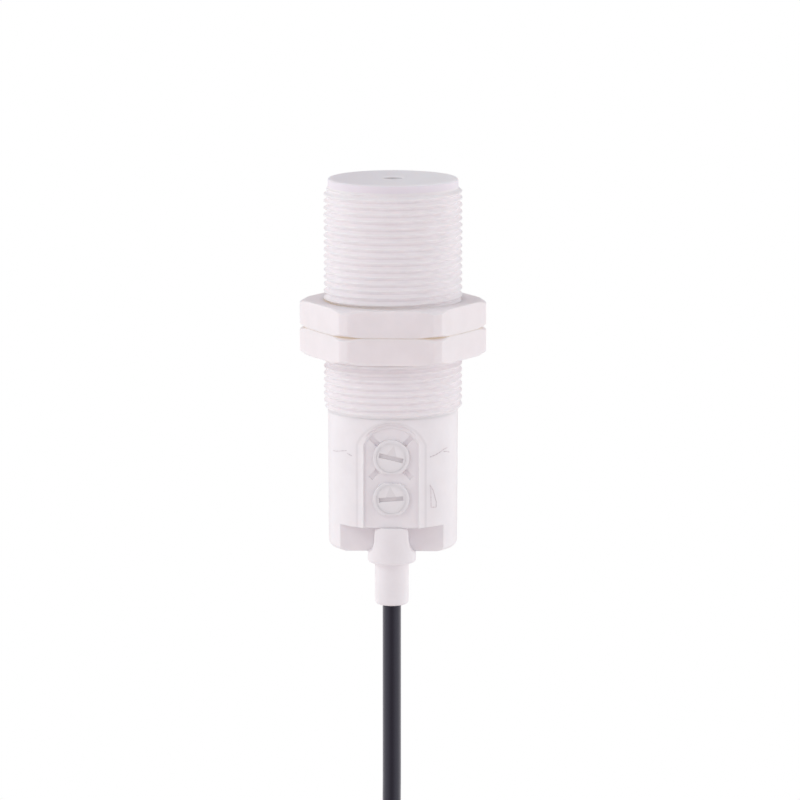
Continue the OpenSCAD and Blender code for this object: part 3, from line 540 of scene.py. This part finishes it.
class SENSOR_OT_cable(bpy.types.Operator):
    """Adds the two-metre cable: straight out of the strain relief, wound and tied, with bared cores"""

    bl_idname = "sensor.cable"
    bl_label = "Cable"

    def execute(self, context):
        sizes = context.scene.sensor_sizes
        wound = self.wound(sizes)
        drop = np.linspace(0.0, sizes.tail_length / MM, 19)[1:]
        tail = wound[-1] - drop[:, None] * np.array([0.0, 0.0, 1.0])
        path = np.concatenate([resampled(CABLE_ROUTE, 1.6)[:-1], wound, tail])
        jacket = tube("cable_jacket", path, sizes.cable_diameter / MM / 2, 20)
        finish = self.jacket_finish(context.scene.sensor_colours.jacket)
        dress(jacket, finish, "sensor", "cable_jacket", "cable", "cable_coil", "cable_tail")
        cores = self.cores(sizes, tail[-1])
        ties = self.ties(sizes)
        return {"FINISHED"}

    def wound(self, sizes):
        """The wound part of the cable: x = r sin a, z = r cos a about the coil's centre. It fills four
        columns of three rows, and at the end of each turn it eases over to its next place."""
        change = 50.0
        radius = sizes.coil_radius / MM
        pitch = sizes.coil_pitch / MM
        rows = [radius + pitch, radius, radius - pitch]
        places = []
        for column in range(4):
            order = rows if column % 2 == 0 else rows[::-1]
            y = OUTLET_Y + (column - 1.5) * pitch
            places.extend((r, y) for r in order)
        passes = len(places) - 1
        end = 360.0 * passes + COIL_END_TURN
        angle = np.arange(0.0, end + 0.1, 8.0)
        angle[-1] = end
        which = np.minimum((angle // 360.0).astype(int), passes)
        share = np.clip((angle - 360.0 * (which + 1) + change) / change, 0.0, 1.0)
        share = np.where(which < passes, eased(share), 0.0)[:, None]
        table = np.array(places)
        here = table[which] * (1.0 - share) + table[np.minimum(which + 1, passes)] * share
        a = np.radians(COIL_START + angle)
        return np.stack([here[:, 0] * np.sin(a), here[:, 1], COIL_Z + here[:, 0] * np.cos(a)], axis=1)

    def jacket_finish(self, base):
        """Satin black plastic with faint draw marks, a little dust and a bluish gloss."""
        s = Shader("cable_jacket")
        flow = s.noise(700.0, 3.0, 0.6)
        grain = s.noise(12000.0, 2.0, 0.6)
        s.give("Base Color", s.mix(s.span(flow, 0.3, 0.7, 0.0, 1.0), shade(base, 0.9), shade(base, 1.2)))
        s.give("Roughness", s.span(grain, 0.2, 0.8, 0.24, 0.36))
        s.give("Specular IOR Level", 0.5)
        s.give("Specular Tint", (0.84, 0.8, 1.0))
        s.give("Sheen Weight", 0.7)
        s.give("Sheen Roughness", 0.44)
        s.give("Sheen Tint", (0.92, 0.92, 1.0))
        s.bump(grain, GRAIN_DEPTH, 0.3)
        return s.material

    def cores(self, sizes, tail_end):
        """Three insulated cores that spread out of the jacket, each with its twisted bare end."""
        tucked = 0.4
        pieces = []
        ends = []
        for tone, (base, other, route) in CORES.items():
            name = "core_" + tone
            path = resampled(tail_end + np.array(route, float), 0.8)
            obj = tube(name + "_skin", path, sizes.core_diameter / MM / 2, 16)
            finish = plain(name, base, other, 900.0, rough=0.45)
            pieces.append(dress(obj, finish, "sensor", name, name))
            way = path[-1] - path[-2]
            way = way / np.linalg.norm(way)
            ends.append((path[-1] - way * tucked, way))
        pieces.append(self.strands(sizes, ends))
        return pieces

    def strands(self, sizes, ends):
        """Bared ends as twists: the radius swells seven times round and turns with the length."""
        bared = 5.35
        depth = 0.12
        twist = 2.6
        tips = []
        for start, way in ends:
            path = start + np.linspace(0.0, bared, 40)[:, None] * way
            obj = tube("bared_end", path, 1.0, 42)
            points = vertices(obj)
            along = (points - start) @ way
            side, over = frames(path)
            across = points - start - along[:, None] * way
            a = np.arctan2(across @ over[0], across @ side[0])
            swell = 1.0 - depth * (0.5 - 0.5 * np.cos(7.0 * a - twist * along))
            radius = swell * sizes.strand_diameter / MM / 2
            move_vertices(obj, start + along[:, None] * way + across * radius[:, None])
            tips.append(obj)
        finish = plain("tinned_metal", (0.62, 0.63, 0.65), (0.74, 0.75, 0.77), 3000.0, 0.3, 1.0)
        return dress(joined(tips, "tinned_strands"), finish, "sensor", "tinned_metal", "tinned_ends")

    def ties(self, sizes):
        """Two flat bands round the bundle: a rounded rectangle swept by the band's thin section, each
        with a square lock on the inner side and the cut tip of the band."""
        slack = 0.15
        half_r = 1.5 * sizes.coil_pitch / MM + slack
        half_a = 2.0 * sizes.coil_pitch / MM + slack
        thick = 0.7
        half = 1.3
        corner = 1.9
        c = 0.12
        section = [(-half, c), (c - half, 0), (half - c, 0), (half, c), (half, thick - c),
                   (half - c, thick), (0.5, thick), (-0.5, thick), (c - half, thick), (-half, thick - c)]
        cross, out = np.array(section).T[:, :, None]
        quarter = np.linspace(0.0, 90.0, 7)
        a = np.radians(np.concatenate([quarter + start for start in (0.0, 90.0, 180.0, 270.0)]))
        y = np.repeat([1, -1, -1, 1], 7) * (half_a - corner) + np.cos(a) * (corner + out)
        r = np.repeat([1, 1, -1, -1], 7) * (half_r - corner) + np.sin(a) * (corner + out)
        band_points = np.stack([cross + 0 * a, y, r], axis=-1)
        foot = -half_r - thick
        finish = plain("tie_plastic", (0.76, 0.76, 0.72), (0.82, 0.82, 0.79), 1200.0, rough=0.38)
        pieces = []
        for name, turn, nodes in (("coil_tie_0", -35.0, ["coil_ties"]), ("coil_tie_1", 145.0, [])):
            band = surface(name, band_points, wrap_rows=True, smooth=False)
            lock = self.rounded_block((-0.4, -2.3, foot - 2.9), (3.0, 2.3, foot + 0.2))
            tip = self.rounded_block((-0.1, 2.2, foot - 1.9), (2.5, 3.4, foot - 1.1))
            joined([band, lock, tip], name)
            self.turn_into_place(band, turn, sizes)
            pieces.append(dress(band, finish, "sensor", "tie_plastic", *nodes))
        return pieces

    def rounded_block(self, low, high):
        """Box whose corners are cut back by a fifth of a millimetre: a stack of eight-sided outlines."""
        c = 0.2
        x0, y0, z0 = low
        x1, y1, z1 = high
        x, y = (x0 + x1) / 2, (y0 + y1) / 2
        rows = [[(x, y, z0)] * 8]
        for z, k in ((z0, 0.7 * c), (z0 + c, 0.0), (z1 - c, 0.0), (z1, 0.7 * c)):
            rows.append([
                (x1 - k, y0 + c, z), (x1 - k, y1 - c, z), (x1 - c, y1 - k, z), (x0 + c, y1 - k, z),
                (x0 + k, y1 - c, z), (x0 + k, y0 + c, z), (x0 + c, y0 + k, z), (x1 - c, y0 + k, z),
            ])
        rows.append([(x, y, z1)] * 8)
        return surface("block", np.array(rows[::-1], float), poles=(True, True), smooth=False)

    def turn_into_place(self, obj, turn, sizes):
        """Moves a band from its own frame to its place on the ring, by a turn about Y."""
        x, y, z = vertices(obj).T
        z = z + sizes.coil_radius / MM
        cos, sin = math.cos(math.radians(turn)), math.sin(math.radians(turn))
        move_vertices(obj, np.stack([x * cos + z * sin, y + OUTLET_Y, z * cos - x * sin + COIL_Z], axis=1))


class SENSOR_OT_barrel(bpy.types.Operator):
    """Adds the barrel with its plain collar, sensing face and helical thread"""

    bl_idname = "sensor.barrel"
    bl_label = "Threaded barrel"

    def execute(self, context):
        sizes = context.scene.sensor_sizes
        base = context.scene.sensor_colours.barrel
        angle = full_turn(160)
        profile = self.face_rows(sizes) + self.thread_rows(sizes, angle) + self.bore_rows(sizes)
        obj = surface("barrel_surface", revolved(profile, angle), poles=(True, True))
        finish = moulded("barrel_plastic", base, rough=0.45, glow=0.45)
        self.painted_groove_glow(finish)
        self.painted_face_light_and_tones(finish, base)
        dress(obj, finish.material, "sensor", "barrel_plastic", "threaded_barrel")
        return {"FINISHED"}

    def face_rows(self, sizes):
        """Rows from the middle of the gate's dimple over the sensing face and down the plain collar."""
        collar = sizes.collar_radius / MM
        floor = FACE_Z - GATE_DEPTH
        edge = 0.5
        rows = [(0.0, floor), (1.0, floor), (1.85, floor), (2.02, floor + 0.04), (2.1, floor + 0.2),
                (2.12, FACE_Z - 0.2), (2.18, FACE_Z - 0.06), (2.32, FACE_Z)]
        rows += [(r, FACE_Z) for r in np.linspace(3.2, collar - 0.62, 8)]
        rows += arc(collar - edge, FACE_Z - edge, edge, 90.0, 0.0, 7)
        return rows + [(collar, FACE_Z - 1.1), (collar, FACE_Z - COLLAR_HEIGHT)]

    def thread_rows(self, sizes, angle):
        """Rows of the thread, cut by a cone of 45 degrees where it runs in from the collar and where it
        runs out at the joint."""
        rows_per_turn = 14
        start = FACE_Z - COLLAR_HEIGHT - 0.2
        stop = JOINT_Z + 0.3
        height = np.linspace(start, stop, int((start - stop) / (sizes.pitch / MM) * rows_per_turn))
        lead_in = sizes.collar_radius / MM + (start - height)
        lead_out = JOINT_RADIUS + (height - stop)
        cones = np.minimum(lead_in, lead_out)[:, None]
        radius = np.minimum(helix(sizes, height[:, None], angle, -0.005), cones)
        return list(zip(np.maximum(radius, sizes.root_radius / MM), height))

    def bore_rows(self, sizes):
        """Rows round the lower rim, up the bore and in under the sensing face."""
        bore = sizes.bore_radius / MM
        ceiling = FACE_Z - 1.6
        rows = [(JOINT_RADIUS, JOINT_Z + 0.08), (JOINT_RADIUS - 0.08, JOINT_Z), (bore + 0.3, JOINT_Z)]
        rows += [(bore, JOINT_Z + 0.3)]
        rows += [(bore, z) for z in np.linspace(JOINT_Z + 4.0, ceiling - 0.6, 8)]
        rows += [(bore - 0.15, ceiling - 0.15), (bore - 0.6, ceiling)]
        return rows + [(r, ceiling) for r in (9.0, 5.0, 0.0)]

    def painted_groove_glow(self, s):
        """Painted light: the grooves give out a faint glow where they are closed in, which lifts the shade
        in them.
        """
        # painted glow that fills the shade in the thread's grooves
        s.give("Emission Color", (0.88, 0.88, 0.93))
        s.give("Emission Strength", s.span(s.openness(1.1 * MM), 0.3, 1.0, 0.085, 0.0))

    def painted_face_light_and_tones(self, s, base):
        """Painted shade in the dimple of the sensing face; a darker tone on the plain collar, a little
        bluer than the thread; and painted light on the face, which grows lighter and bluer towards the
        right."""
        x, y, z = s.axes("XYZ")
        reach = s.reach(x, y)
        floor = FACE_Z - GATE_DEPTH
        collar_end = FACE_Z - COLLAR_HEIGHT
        # painted shade darkening the gate's dimple
        dimple = s.times(s.span(reach, 2.05 * MM, 2.2 * MM, 1.0, 0.0),
                         s.span(z, (floor - 0.2) * MM, (floor - 0.1) * MM, 0.0, 0.8))
        s.tinted(dimple, shade(base, 0.5))
        collar = s.times(s.span(reach, 13.45 * MM, 13.65 * MM, 0.0, 1.0),
                         s.span(z, (collar_end - 0.1) * MM, (collar_end + 0.1) * MM, 0.0, 1.0))
        s.tinted(collar, shade(base, 0.955, 0.935, 0.98))
        face = s.span(z, (FACE_Z - 0.2) * MM, (FACE_Z - 0.1) * MM, 0.0, 1.0)
        # painted light: the sensing face darker at the left and lighter towards the right
        painted_light_to_right = s.span(x, -14.0 * MM, 12.0 * MM, 0.0, 1.0)
        s.tinted(face, s.mix(painted_light_to_right, shade(base, 0.98, 0.965, 0.99), shade(base, 1.06, 1.07, 1.08)))


class SENSOR_OT_nuts(bpy.types.Operator):
    """Adds the two hexagon nuts with turned corners, chamfers and threaded bores"""

    bl_idname = "sensor.nuts"
    bl_label = "Nuts"

    def execute(self, context):
        colours = context.scene.sensor_colours
        finish = moulded("nut_plastic", colours.nut, glow=0.4)
        self.painted_gap_shade_and_glow(finish, colours.glow)
        for node, top in (("front_nut", 0.0), ("rear_nut", -NUT_HEIGHT)):
            obj = self.nut(node + "_surface", context.scene.sensor_sizes, top)
            dress(obj, finish.material, node, "nut_plastic", node)
        return {"FINISHED"}

    def painted_gap_shade_and_glow(self, s, tint):
        """Painted shade and glow in narrow gaps: they take a darker, warm tint and give out a little of it
        as light.
        """
        open_share = s.openness(0.8 * MM)
        # painted shade: narrow gaps tinted darker and warm
        s.tinted(s.span(open_share, 0.2, 0.75, 0.6, 0.0), tint)
        # painted glow: narrow gaps give out the tint as light
        s.give("Emission Color", tint)
        s.give("Emission Strength", s.span(open_share, 0.1, 0.5, 0.15, 0.0))

    def nut(self, name, sizes, top):
        """Ring whose outline is the smaller of flats / cos(a) and the turned corner, with a corner cone
        on both sides, edges rounded by a quarter millimetre, and in the bore the barrel's own helix."""
        flats = sizes.nut_flats / MM / 2
        corner = sizes.nut_corner / MM
        crease = math.degrees(math.acos(flats / corner))
        # Angles from the middle of a flat, closer together at the creases beside the corners
        near = 0.6
        off = 0.9
        sector = np.concatenate([
            np.linspace(-30.0, -crease - off, 4), np.linspace(-crease - near, -crease + near, 6),
            np.linspace(-crease + off, crease - off, 34), np.linspace(crease - near, crease + near, 6),
            np.linspace(crease + off, 30.0, 4)[:-1],
        ])
        angle = np.radians(np.concatenate([sector + 60.0 * k + 30.0 for k in range(6)]))
        flat = flats / np.cos(np.radians(np.tile(sector, 6)))
        softness = 0.05
        outline = np.minimum(flat, corner) - softness * np.exp(-np.abs(flat - corner) / softness)
        cone_width = 1.28
        cone_drop = 0.58
        cone_start = corner - cone_width

        def crown(r):
            return -cone_drop / cone_width * np.maximum(r - cone_start, 0.0)

        # From the bore's mouth out over the cone and round the edge
        edge = 0.22
        mouth = 15.14
        side = [(mouth - 0.07, -0.06), (mouth, 0.0), (16.6, 0.0), (17.3, 0.0)]
        for back in (0.5, 0.3):
            r = np.minimum(outline - back * 1.2, cone_start - (back - 0.4) * 1.2)
            side.append((r, crown(r)))
        r = np.maximum(outline - edge * 1.4, side[-1][0] + 0.01)
        side.append((r, crown(r)))
        for across, up in arc(0.0, 0.0, edge, 60.0, 10.0, 3):
            side.append((outline - edge + across, crown(outline) - edge + up + 0.02))
        side.append((outline, crown(outline) - edge - 0.15))
        under = [(r, -NUT_HEIGHT - z) for r, z in reversed(side)]
        play = 0.03
        levels = np.linspace(-NUT_HEIGHT + 0.1, -0.1, 46)
        bore = [(helix(sizes, z + top, angle) + play, z) for z in levels]
        profile = [(r, z + top) for r, z in side + under + bore]
        return surface(name, revolved(profile, angle), wrap_rows=True)


class SENSOR_OT_housing(bpy.types.Operator):
    """Adds the rear housing with softened edges in its pocket, pad and recess"""

    bl_idname = "sensor.housing"
    bl_label = "Rear housing"

    def execute(self, context):
        obj = copied("rear_housing", "housing_surface")
        self.lift_marks(obj)
        self.round_foot(obj)
        base = context.scene.sensor_colours.housing
        finish = moulded("housing_plastic", base, rough=0.36, rounding=HOUSING_ROUNDING, glow=0.35)
        self.pad_line(finish, base)
        self.sharp_edges(finish)
        dress(obj, finish.material, "sensor", "housing_plastic", "rear_housing")
        return {"FINISHED"}

    def lift_marks(self, obj):
        """Lifts the floors of the four marks round the selector, which are fainter in the photo."""
        lifted = -12.38
        inner = 3.95
        outer = 7.0
        x, y, z = vertices(obj).T
        reach = np.hypot(x, z - SELECTOR_Z)
        low = (np.abs(y - MARK_FLOOR_Y) < 0.03) & (reach > inner) & (reach < outer)
        move_vertices(obj, np.stack([x, np.where(low, lifted, y), z], axis=1))

    def round_foot(self, obj):
        """Rounds the wall's lower edge: the mesh is cut by level planes, and each outer vertex below
        them moves to the radius wall - r + sqrt(r^2 - (r - h)^2) at its height h. On the recess flat
        only x changes."""
        wall = 13.96
        r = 1.15
        work = bmesh.new()
        work.from_mesh(obj.data)
        for share in (0.04, 0.15, 0.3, 0.5, 0.72, 1.0):
            bmesh.ops.bisect_plane(
                work, geom=work.verts[:] + work.edges[:] + work.faces[:], dist=1e-7,
                plane_co=(0.0, 0.0, (END_Z + share * r) * MM), plane_no=(0.0, 0.0, 1.0),
            )
        work.to_mesh(obj.data)
        x, y, z = vertices(obj).T
        h = z - END_Z
        limit = wall - r + np.sqrt(np.maximum(0.0, r * r - (r - h) ** 2))
        scale = np.where(h > r - 0.001, 1.0, limit / np.maximum(np.hypot(x, y), limit))
        on_flat = (scale < 1.0) & (np.abs(y - RECESS_FLAT_Y) < 0.01)
        flat_x = np.copysign(np.sqrt(np.maximum(0.0, limit * limit - y * y)), x)
        moved = [np.where(on_flat, flat_x, x * scale), np.where(on_flat, y, y * scale), z]
        move_vertices(obj, np.stack(moved, axis=1))
        work.clear()
        work.from_mesh(obj.data)
        bmesh.ops.remove_doubles(work, verts=work.verts, dist=2e-6)
        bmesh.ops.dissolve_degenerate(work, edges=work.edges, dist=1e-6)
        finished(work, obj.data)

    def pad_line(self, s, base):
        """Shade in the crease where the pad's bevel meets the wall: the outline is the larger of the
        distance past the pad's sides and the distance past its arch."""
        x, y, z = s.axes("XYZ")
        side = s.minus(s.unsigned(x), PAD_HALF * MM)
        up = s.math("MAXIMUM", s.minus(z, SELECTOR_Z * MM), 0.0)
        arch = s.minus(s.reach(x, up), ARCH_RADIUS * MM)
        off = s.unsigned(s.math("MAXIMUM", side, arch))
        line = s.times(s.span(off, 0.05 * MM, 0.42 * MM, 0.16, 0.0),
                       s.span(y, -10.5 * MM, -10.0 * MM, 1.0, 0.0))
        s.tinted(line, shade(base, 0.5))

    def sharp_edges(self, s):
        """Leaves the edges of the two adjuster sockets and of the four marks sharp."""
        x, z = s.axes("XZ")
        fade = 0.1
        radius = HOUSING_ROUNDING
        rings = ((SELECTOR_Z, 2.0, 3.5), (SELECTOR_Z, 4.45, 6.0), (SENSITIVITY_Z, 2.0, 3.5))
        for centre, start, end in rings:
            half = (end - start) / 2
            away = s.reach(x, s.minus(z, centre * MM))
            off = s.unsigned(s.minus(away, (start + half) * MM))
            radius = s.times(radius, s.span(off, half * MM, (half + fade) * MM, 0.0, 1.0))
        s.join(radius, s.edge.inputs["Radius"])


class SENSOR_OT_adjusters(bpy.types.Operator):
    """Adds the two slotted adjusters with their arrowheads"""

    bl_idname = "sensor.adjusters"
    bl_label = "Adjusters"

    def execute(self, context):
        base = context.scene.sensor_colours.adjuster
        for node, body, z, turn in (
            ("selector_knob", "selector", SELECTOR_Z, -13.0),
            ("sensitivity_knob", "sensitivity_adjuster", SENSITIVITY_Z, 5.0),
        ):
            obj = copied(node, node + "_surface")
            self.fitted(obj, z)
            finish = self.plastic(node + "_plastic", base, z, math.radians(turn))
            dress(obj, finish, body, "adjuster_plastic", node)
        return {"FINISHED"}

    def fitted(self, obj, centre_z):
        """Moves the head's rim out to its socket, so that no dark ring is left between them, and lifts
        the slot's floor to where the photo's soft light reaches."""
        rim = 3.1
        socket = 3.14
        slot_floor = HEAD_Y + 0.85
        lifted = HEAD_Y + 0.5
        x, y, z = vertices(obj).T
        z = z - centre_z
        reach = np.hypot(x, z)
        outer = (reach > rim - 0.15) & (reach < rim + 0.05)
        scale = np.where(outer, socket / np.maximum(reach, 1.0), 1.0)
        low = (np.abs(y - slot_floor) < 0.03) & (reach < 3.0)
        move_vertices(obj, np.stack([x * scale, np.where(low, lifted, y), z * scale + centre_z], axis=1))

    def plastic(self, name, base, centre_z, turn):
        """Plastic of an adjuster: a slightly darker arrowhead above the slot, and shade down in the
        slot. The arrowhead is the area below two slanted edges and above the slot's edge, in the
        head's frame."""
        rounding = 0.00012
        apex = 2.95 * MM
        foot = 0.5 * MM
        half = 1.15 * MM
        s = moulded(name, base, rough=0.4, rounding=rounding, glow=0.3)
        x, y, z = s.axes("XYZ")
        up = s.minus(z, centre_z * MM)
        across = s.plus(s.times(x, math.cos(turn)), s.times(up, math.sin(turn)))
        along = s.minus(s.times(up, math.cos(turn)), s.times(x, math.sin(turn)))
        width = s.times(s.minus(apex, along), half / (apex - foot))
        inside = s.minus(width, s.unsigned(across))
        arrow = s.times(s.span(inside, 0.0, 0.1 * MM, 0.0, 1.0),
                        s.span(along, foot - 0.05 * MM, foot, 0.0, 1.0))
        front = s.span(y, (HEAD_Y + 0.1) * MM, (HEAD_Y + 0.3) * MM, 1.0, 0.0)
        s.tinted(s.times(s.times(arrow, front), 0.65), shade(base, 0.88))
        reach = s.reach(x, up)
        deep = s.span(y, (HEAD_Y + 0.3) * MM, (HEAD_Y + 0.4) * MM, 0.0, 0.35)
        s.tinted(s.times(deep, s.span(reach, 3.0 * MM, 3.05 * MM, 1.0, 0.0)), shade(base, 0.75))
        s.join(s.span(reach, 2.7 * MM, 2.9 * MM, rounding, 0.0), s.edge.inputs["Radius"])
        return s.material


class SENSOR_OT_signs(bpy.types.Operator):
    """Adds the thin printed signs beside the adjusters"""

    bl_idname = "sensor.signs"
    bl_label = "Signs"

    def execute(self, context):
        base = context.scene.sensor_colours.sign
        finish = plain("sign_ink", base, shade(base, 1.35), 2500.0)
        for number, (stroke, width) in enumerate(SIGNS):
            obj = self.stroke("sign_%d" % number, stroke, width)
            dress(obj, finish, "sensor", "housing_plastic")
        return {"FINISHED"}

    def stroke(self, name, points, width):
        """A printed line on the housing: a closed ribbon a hundredth of a millimetre thick, whose points
        are given by angle and height, x = r sin a and y = -r cos a, on the wall's drafted radius."""
        mean_radius = 14.0
        step = 0.3
        lift = 0.012
        root = -0.03
        raw = np.array(points, float)
        flat = np.stack([np.radians(raw[:, 0]) * mean_radius, raw[:, 1]], axis=1)
        line = []
        for a, b in zip(flat[:-1], flat[1:]):
            n = max(2, int(np.linalg.norm(b - a) / step) + 1)
            line.append(a + np.linspace(0.0, 1.0, n, endpoint=False)[:, None] * (b - a))
        line = np.concatenate(line + [flat[-1:]])
        ahead = np.gradient(line, axis=0)
        ahead /= np.linalg.norm(ahead, axis=1)[:, None]
        aside = np.stack([-ahead[:, 1], ahead[:, 0]], axis=1)
        rows = []
        for offset, out in ((-0.5, lift), (0.5, lift), (0.5, root), (-0.5, root)):
            arc_length, z = (line + aside * offset * width).T
            wall = WALL_TOP_RADIUS - WALL_DRAFT * (JOINT_Z - z) / (JOINT_Z - END_Z) + out
            a = arc_length / mean_radius
            rows.append(np.stack([wall * np.sin(a), -wall * np.cos(a), z], axis=1))
        ring = np.array(rows)
        ends = [np.repeat(ring[:, at].mean(axis=0)[None, None], 4, axis=0) for at in (0, -1)]
        grid = np.concatenate([ends[0], ring, ends[1]], axis=1).transpose(1, 0, 2)
        return surface(name, grid, poles=(True, True), smooth=False)


class SENSOR_OT_relief(bpy.types.Operator):
    """Adds the moulded strain relief with softened edges"""

    bl_idname = "sensor.relief"
    bl_label = "Strain relief"

    def execute(self, context):
        finish = moulded("relief_plastic", context.scene.sensor_colours.relief, rough=0.4)
        dress(self.sleeve(), finish.material, "sensor", "relief_plastic", "strain_relief")
        return {"FINISHED"}

    def sleeve(self):
        """Sleeve, collar and neck about the cable: the radius is the collar's, and in the neck it is cut
        flat on both sides, r = w / |cos a|, where the half width w flares out into the collar."""
        angle = full_turn(144)
        collar = 5.2
        sleeve = 3.65
        hole = 2.03
        neck_half = 3.55
        taper = 0.35
        flare = 1.35
        flare_height = 0.55
        crown = 1.2
        collar_low = END_Z - 2.35
        bottom = collar_low - 9.3
        top = RECESS_Z - 0.02
        profile = [(hole, z) for z in np.linspace(RECESS_Z - 0.3, bottom + 0.3, 8)]
        profile += [(hole + 0.1, bottom + 0.05), (hole + 0.3, bottom)]
        profile += arc(sleeve - 0.8, bottom + 0.8, 0.8, -90.0, 0.0, 7)
        profile += [(sleeve, z) for z in np.linspace(bottom + 2.0, collar_low - 0.35, 7)]
        profile += [(sleeve + 0.03, collar_low - 0.15), (sleeve + 0.15, collar_low - 0.03)]
        profile += [(sleeve + 0.4, collar_low)]
        profile += arc(collar - 0.6, collar_low + 0.6, 0.6, -90.0, 0.0, 7)
        profile += [(collar, z) for z in np.linspace(collar_low + 1.0, END_Z - 0.1, 5)]
        for z in END_Z + np.linspace(0.0, 1.0, 26) * (top - END_Z):
            half = neck_half + taper * (z - top) / (END_Z - top)
            half += flare * math.exp(-(z - END_Z) / flare_height)
            into = max(0.0, z - (top - crown)) / crown
            half -= crown * (1.0 - math.sqrt(max(0.0, 1.0 - into * into)))
            cut = half / np.maximum(np.abs(np.cos(angle)), 1e-3)
            soft = np.exp(-np.abs(cut - collar) / 0.12) * 0.1
            profile.append((np.minimum(cut, collar) - soft, z))
        neck, z = profile[-1]
        profile += [(neck * 0.6, z), (hole + 0.05, z)]
        return surface("relief_surface", revolved(profile, angle, OUTLET_Y)[::-1], wrap_rows=True)


class SENSOR_OT_inner(bpy.types.Operator):
    """Gives the pieces inside the sensor their materials"""

    bl_idname = "sensor.inner"
    bl_label = "Inner pieces"

    def execute(self, context):
        for name, (base, other, scale, rough, metal, nodes) in INNER_FINISHES.items():
            material = plain(name, base, other, scale, rough, metal)
            for node in nodes:
                finish_node(node, material)
        for tone, (base, other, _) in CORES.items():
            finish_node("inner_core_" + tone, plain("inner_" + tone, base, other, 1500.0))
        board = self.board_finish()
        for node in ("electrode_carrier", "main_board"):
            finish_node(node, board)
        return {"FINISHED"}

    def board_finish(self):
        """Green lacquer with a weave below it and lighter conductor tracks in bands."""
        s = Shader("circuit_board")
        weave = s.add("ShaderNodeTexWave", {"Vector": s.place, "Scale": 900.0, "Distortion": 4.0},
                      wave_type="BANDS", bands_direction="DIAGONAL")
        spots = s.noise(400.0, 3.0, 0.5)
        tracks = s.span(spots, 0.5, 0.53, 0.0, 0.6)
        ground = s.mix(weave.outputs["Fac"], (0.012, 0.09, 0.03), (0.018, 0.12, 0.04))
        s.give("Base Color", s.mix(tracks, ground, (0.03, 0.2, 0.07)))
        s.give("Roughness", s.span(spots, 0.3, 0.7, 0.28, 0.4))
        s.bump(tracks, 0.00003, 0.5)
        return s.material


class SENSOR_OT_stage(bpy.types.Operator):
    """Adds the soft daylight around the sensor and a lamp at its left, before a white ground"""

    bl_idname = "sensor.stage"
    bl_label = "Stage"

    def execute(self, context):
        self.surroundings(context)
        self.lamp()
        return {"FINISHED"}

    def surroundings(self, context):
        """White for the camera. For all other light: brighter and whiter from the sides, a little
        weaker and bluer from above."""
        world = bpy.data.worlds.new("surroundings")
        context.scene.world = world
        s = Nodes(world, "ShaderNodeOutputWorld", "Generated")
        x, z = s.axes("XZ")
        aside = s.span(s.unsigned(x), 0.1, 0.85, 0.0, 1.0)
        strength = s.plus(s.times(aside, 0.66), 0.52)
        strength = s.plus(s.times(z, -0.08), strength)
        strength = s.plus(s.times(x, 0.01), strength)
        tint = s.mix(aside, (1.0, 0.9, 0.925), (1.0, 1.0, 1.0))
        tint = s.mix(s.span(z, 0.1, 1.0, 0.0, 1.0), tint, (0.93, 0.97, 1.0))
        light = s.add("ShaderNodeBackground", {"Color": tint, "Strength": strength})
        ground = s.add("ShaderNodeBackground", {"Color": (1.0, 1.0, 1.0), "Strength": 1.0})
        ray = s.add("ShaderNodeLightPath").outputs["Is Camera Ray"]
        choose = s.add("ShaderNodeMixShader", {0: ray, 1: light.outputs[0], 2: ground.outputs[0]})
        s.join(choose.outputs[0], s.out.inputs["Surface"])
        context.scene.view_settings.view_transform = "Standard"

    def lamp(self):
        """A soft square light at the left that looks at the middle of the sensor."""
        place = np.array([-0.4, -0.4, 0.42])
        target = np.array([0.0, 0.0, -0.015])
        data = bpy.data.lights.new("left_light", "AREA")
        data.shape = "RECTANGLE"
        data.size = 0.14
        data.size_y = 0.14
        data.energy = 0.52
        obj = linked("left_light", data)
        obj.location = place
        x, y, z = target - place
        obj.rotation_euler = (math.pi / 2 + math.atan2(z, math.hypot(x, y)), 0.0, math.atan2(-x, y))


class SENSOR_PT_panel(bpy.types.Panel):
    """Lists the sensor's pieces, sizes and colours in the sidebar"""

    bl_idname = "SENSOR_PT_panel"
    bl_label = "Proximity sensor"
    bl_space_type = "VIEW_3D"
    bl_region_type = "UI"
    bl_category = "Sensor"

    def draw(self, context):
        for group in (context.scene.sensor_sizes, context.scene.sensor_colours):
            column = self.layout.column()
            for key in group.__annotations__:
                column.prop(group, key)
        for operator in STEPS:
            self.layout.operator(operator.bl_idname)


STEPS = (
    SENSOR_OT_camera,
    SENSOR_OT_cable,
    SENSOR_OT_barrel,
    SENSOR_OT_nuts,
    SENSOR_OT_housing,
    SENSOR_OT_adjusters,
    SENSOR_OT_signs,
    SENSOR_OT_relief,
    SENSOR_OT_inner,
    SENSOR_OT_stage,
)
CLASSES = (SensorSizes, SensorColours) + STEPS + (SENSOR_PT_panel,)


def register():
    """Adds the classes and the scene's size and colour groups."""
    for item in CLASSES:
        bpy.utils.register_class(item)
    bpy.types.Scene.sensor_sizes = PointerProperty(type=SensorSizes)
    bpy.types.Scene.sensor_colours = PointerProperty(type=SensorColours)


def unregister():
    """Takes them away again."""
    del bpy.types.Scene.sensor_colours
    del bpy.types.Scene.sensor_sizes
    for item in reversed(CLASSES):
        bpy.utils.unregister_class(item)


def main():
    """Builds every piece and the stage."""
    register()
    bpy.ops.sensor.camera()
    bpy.ops.sensor.cable()
    bpy.ops.sensor.barrel()
    bpy.ops.sensor.nuts()
    bpy.ops.sensor.housing()
    bpy.ops.sensor.adjusters()
    bpy.ops.sensor.signs()
    bpy.ops.sensor.relief()
    bpy.ops.sensor.inner()
    bpy.ops.sensor.stage()


if __name__ == "__main__":
    main()
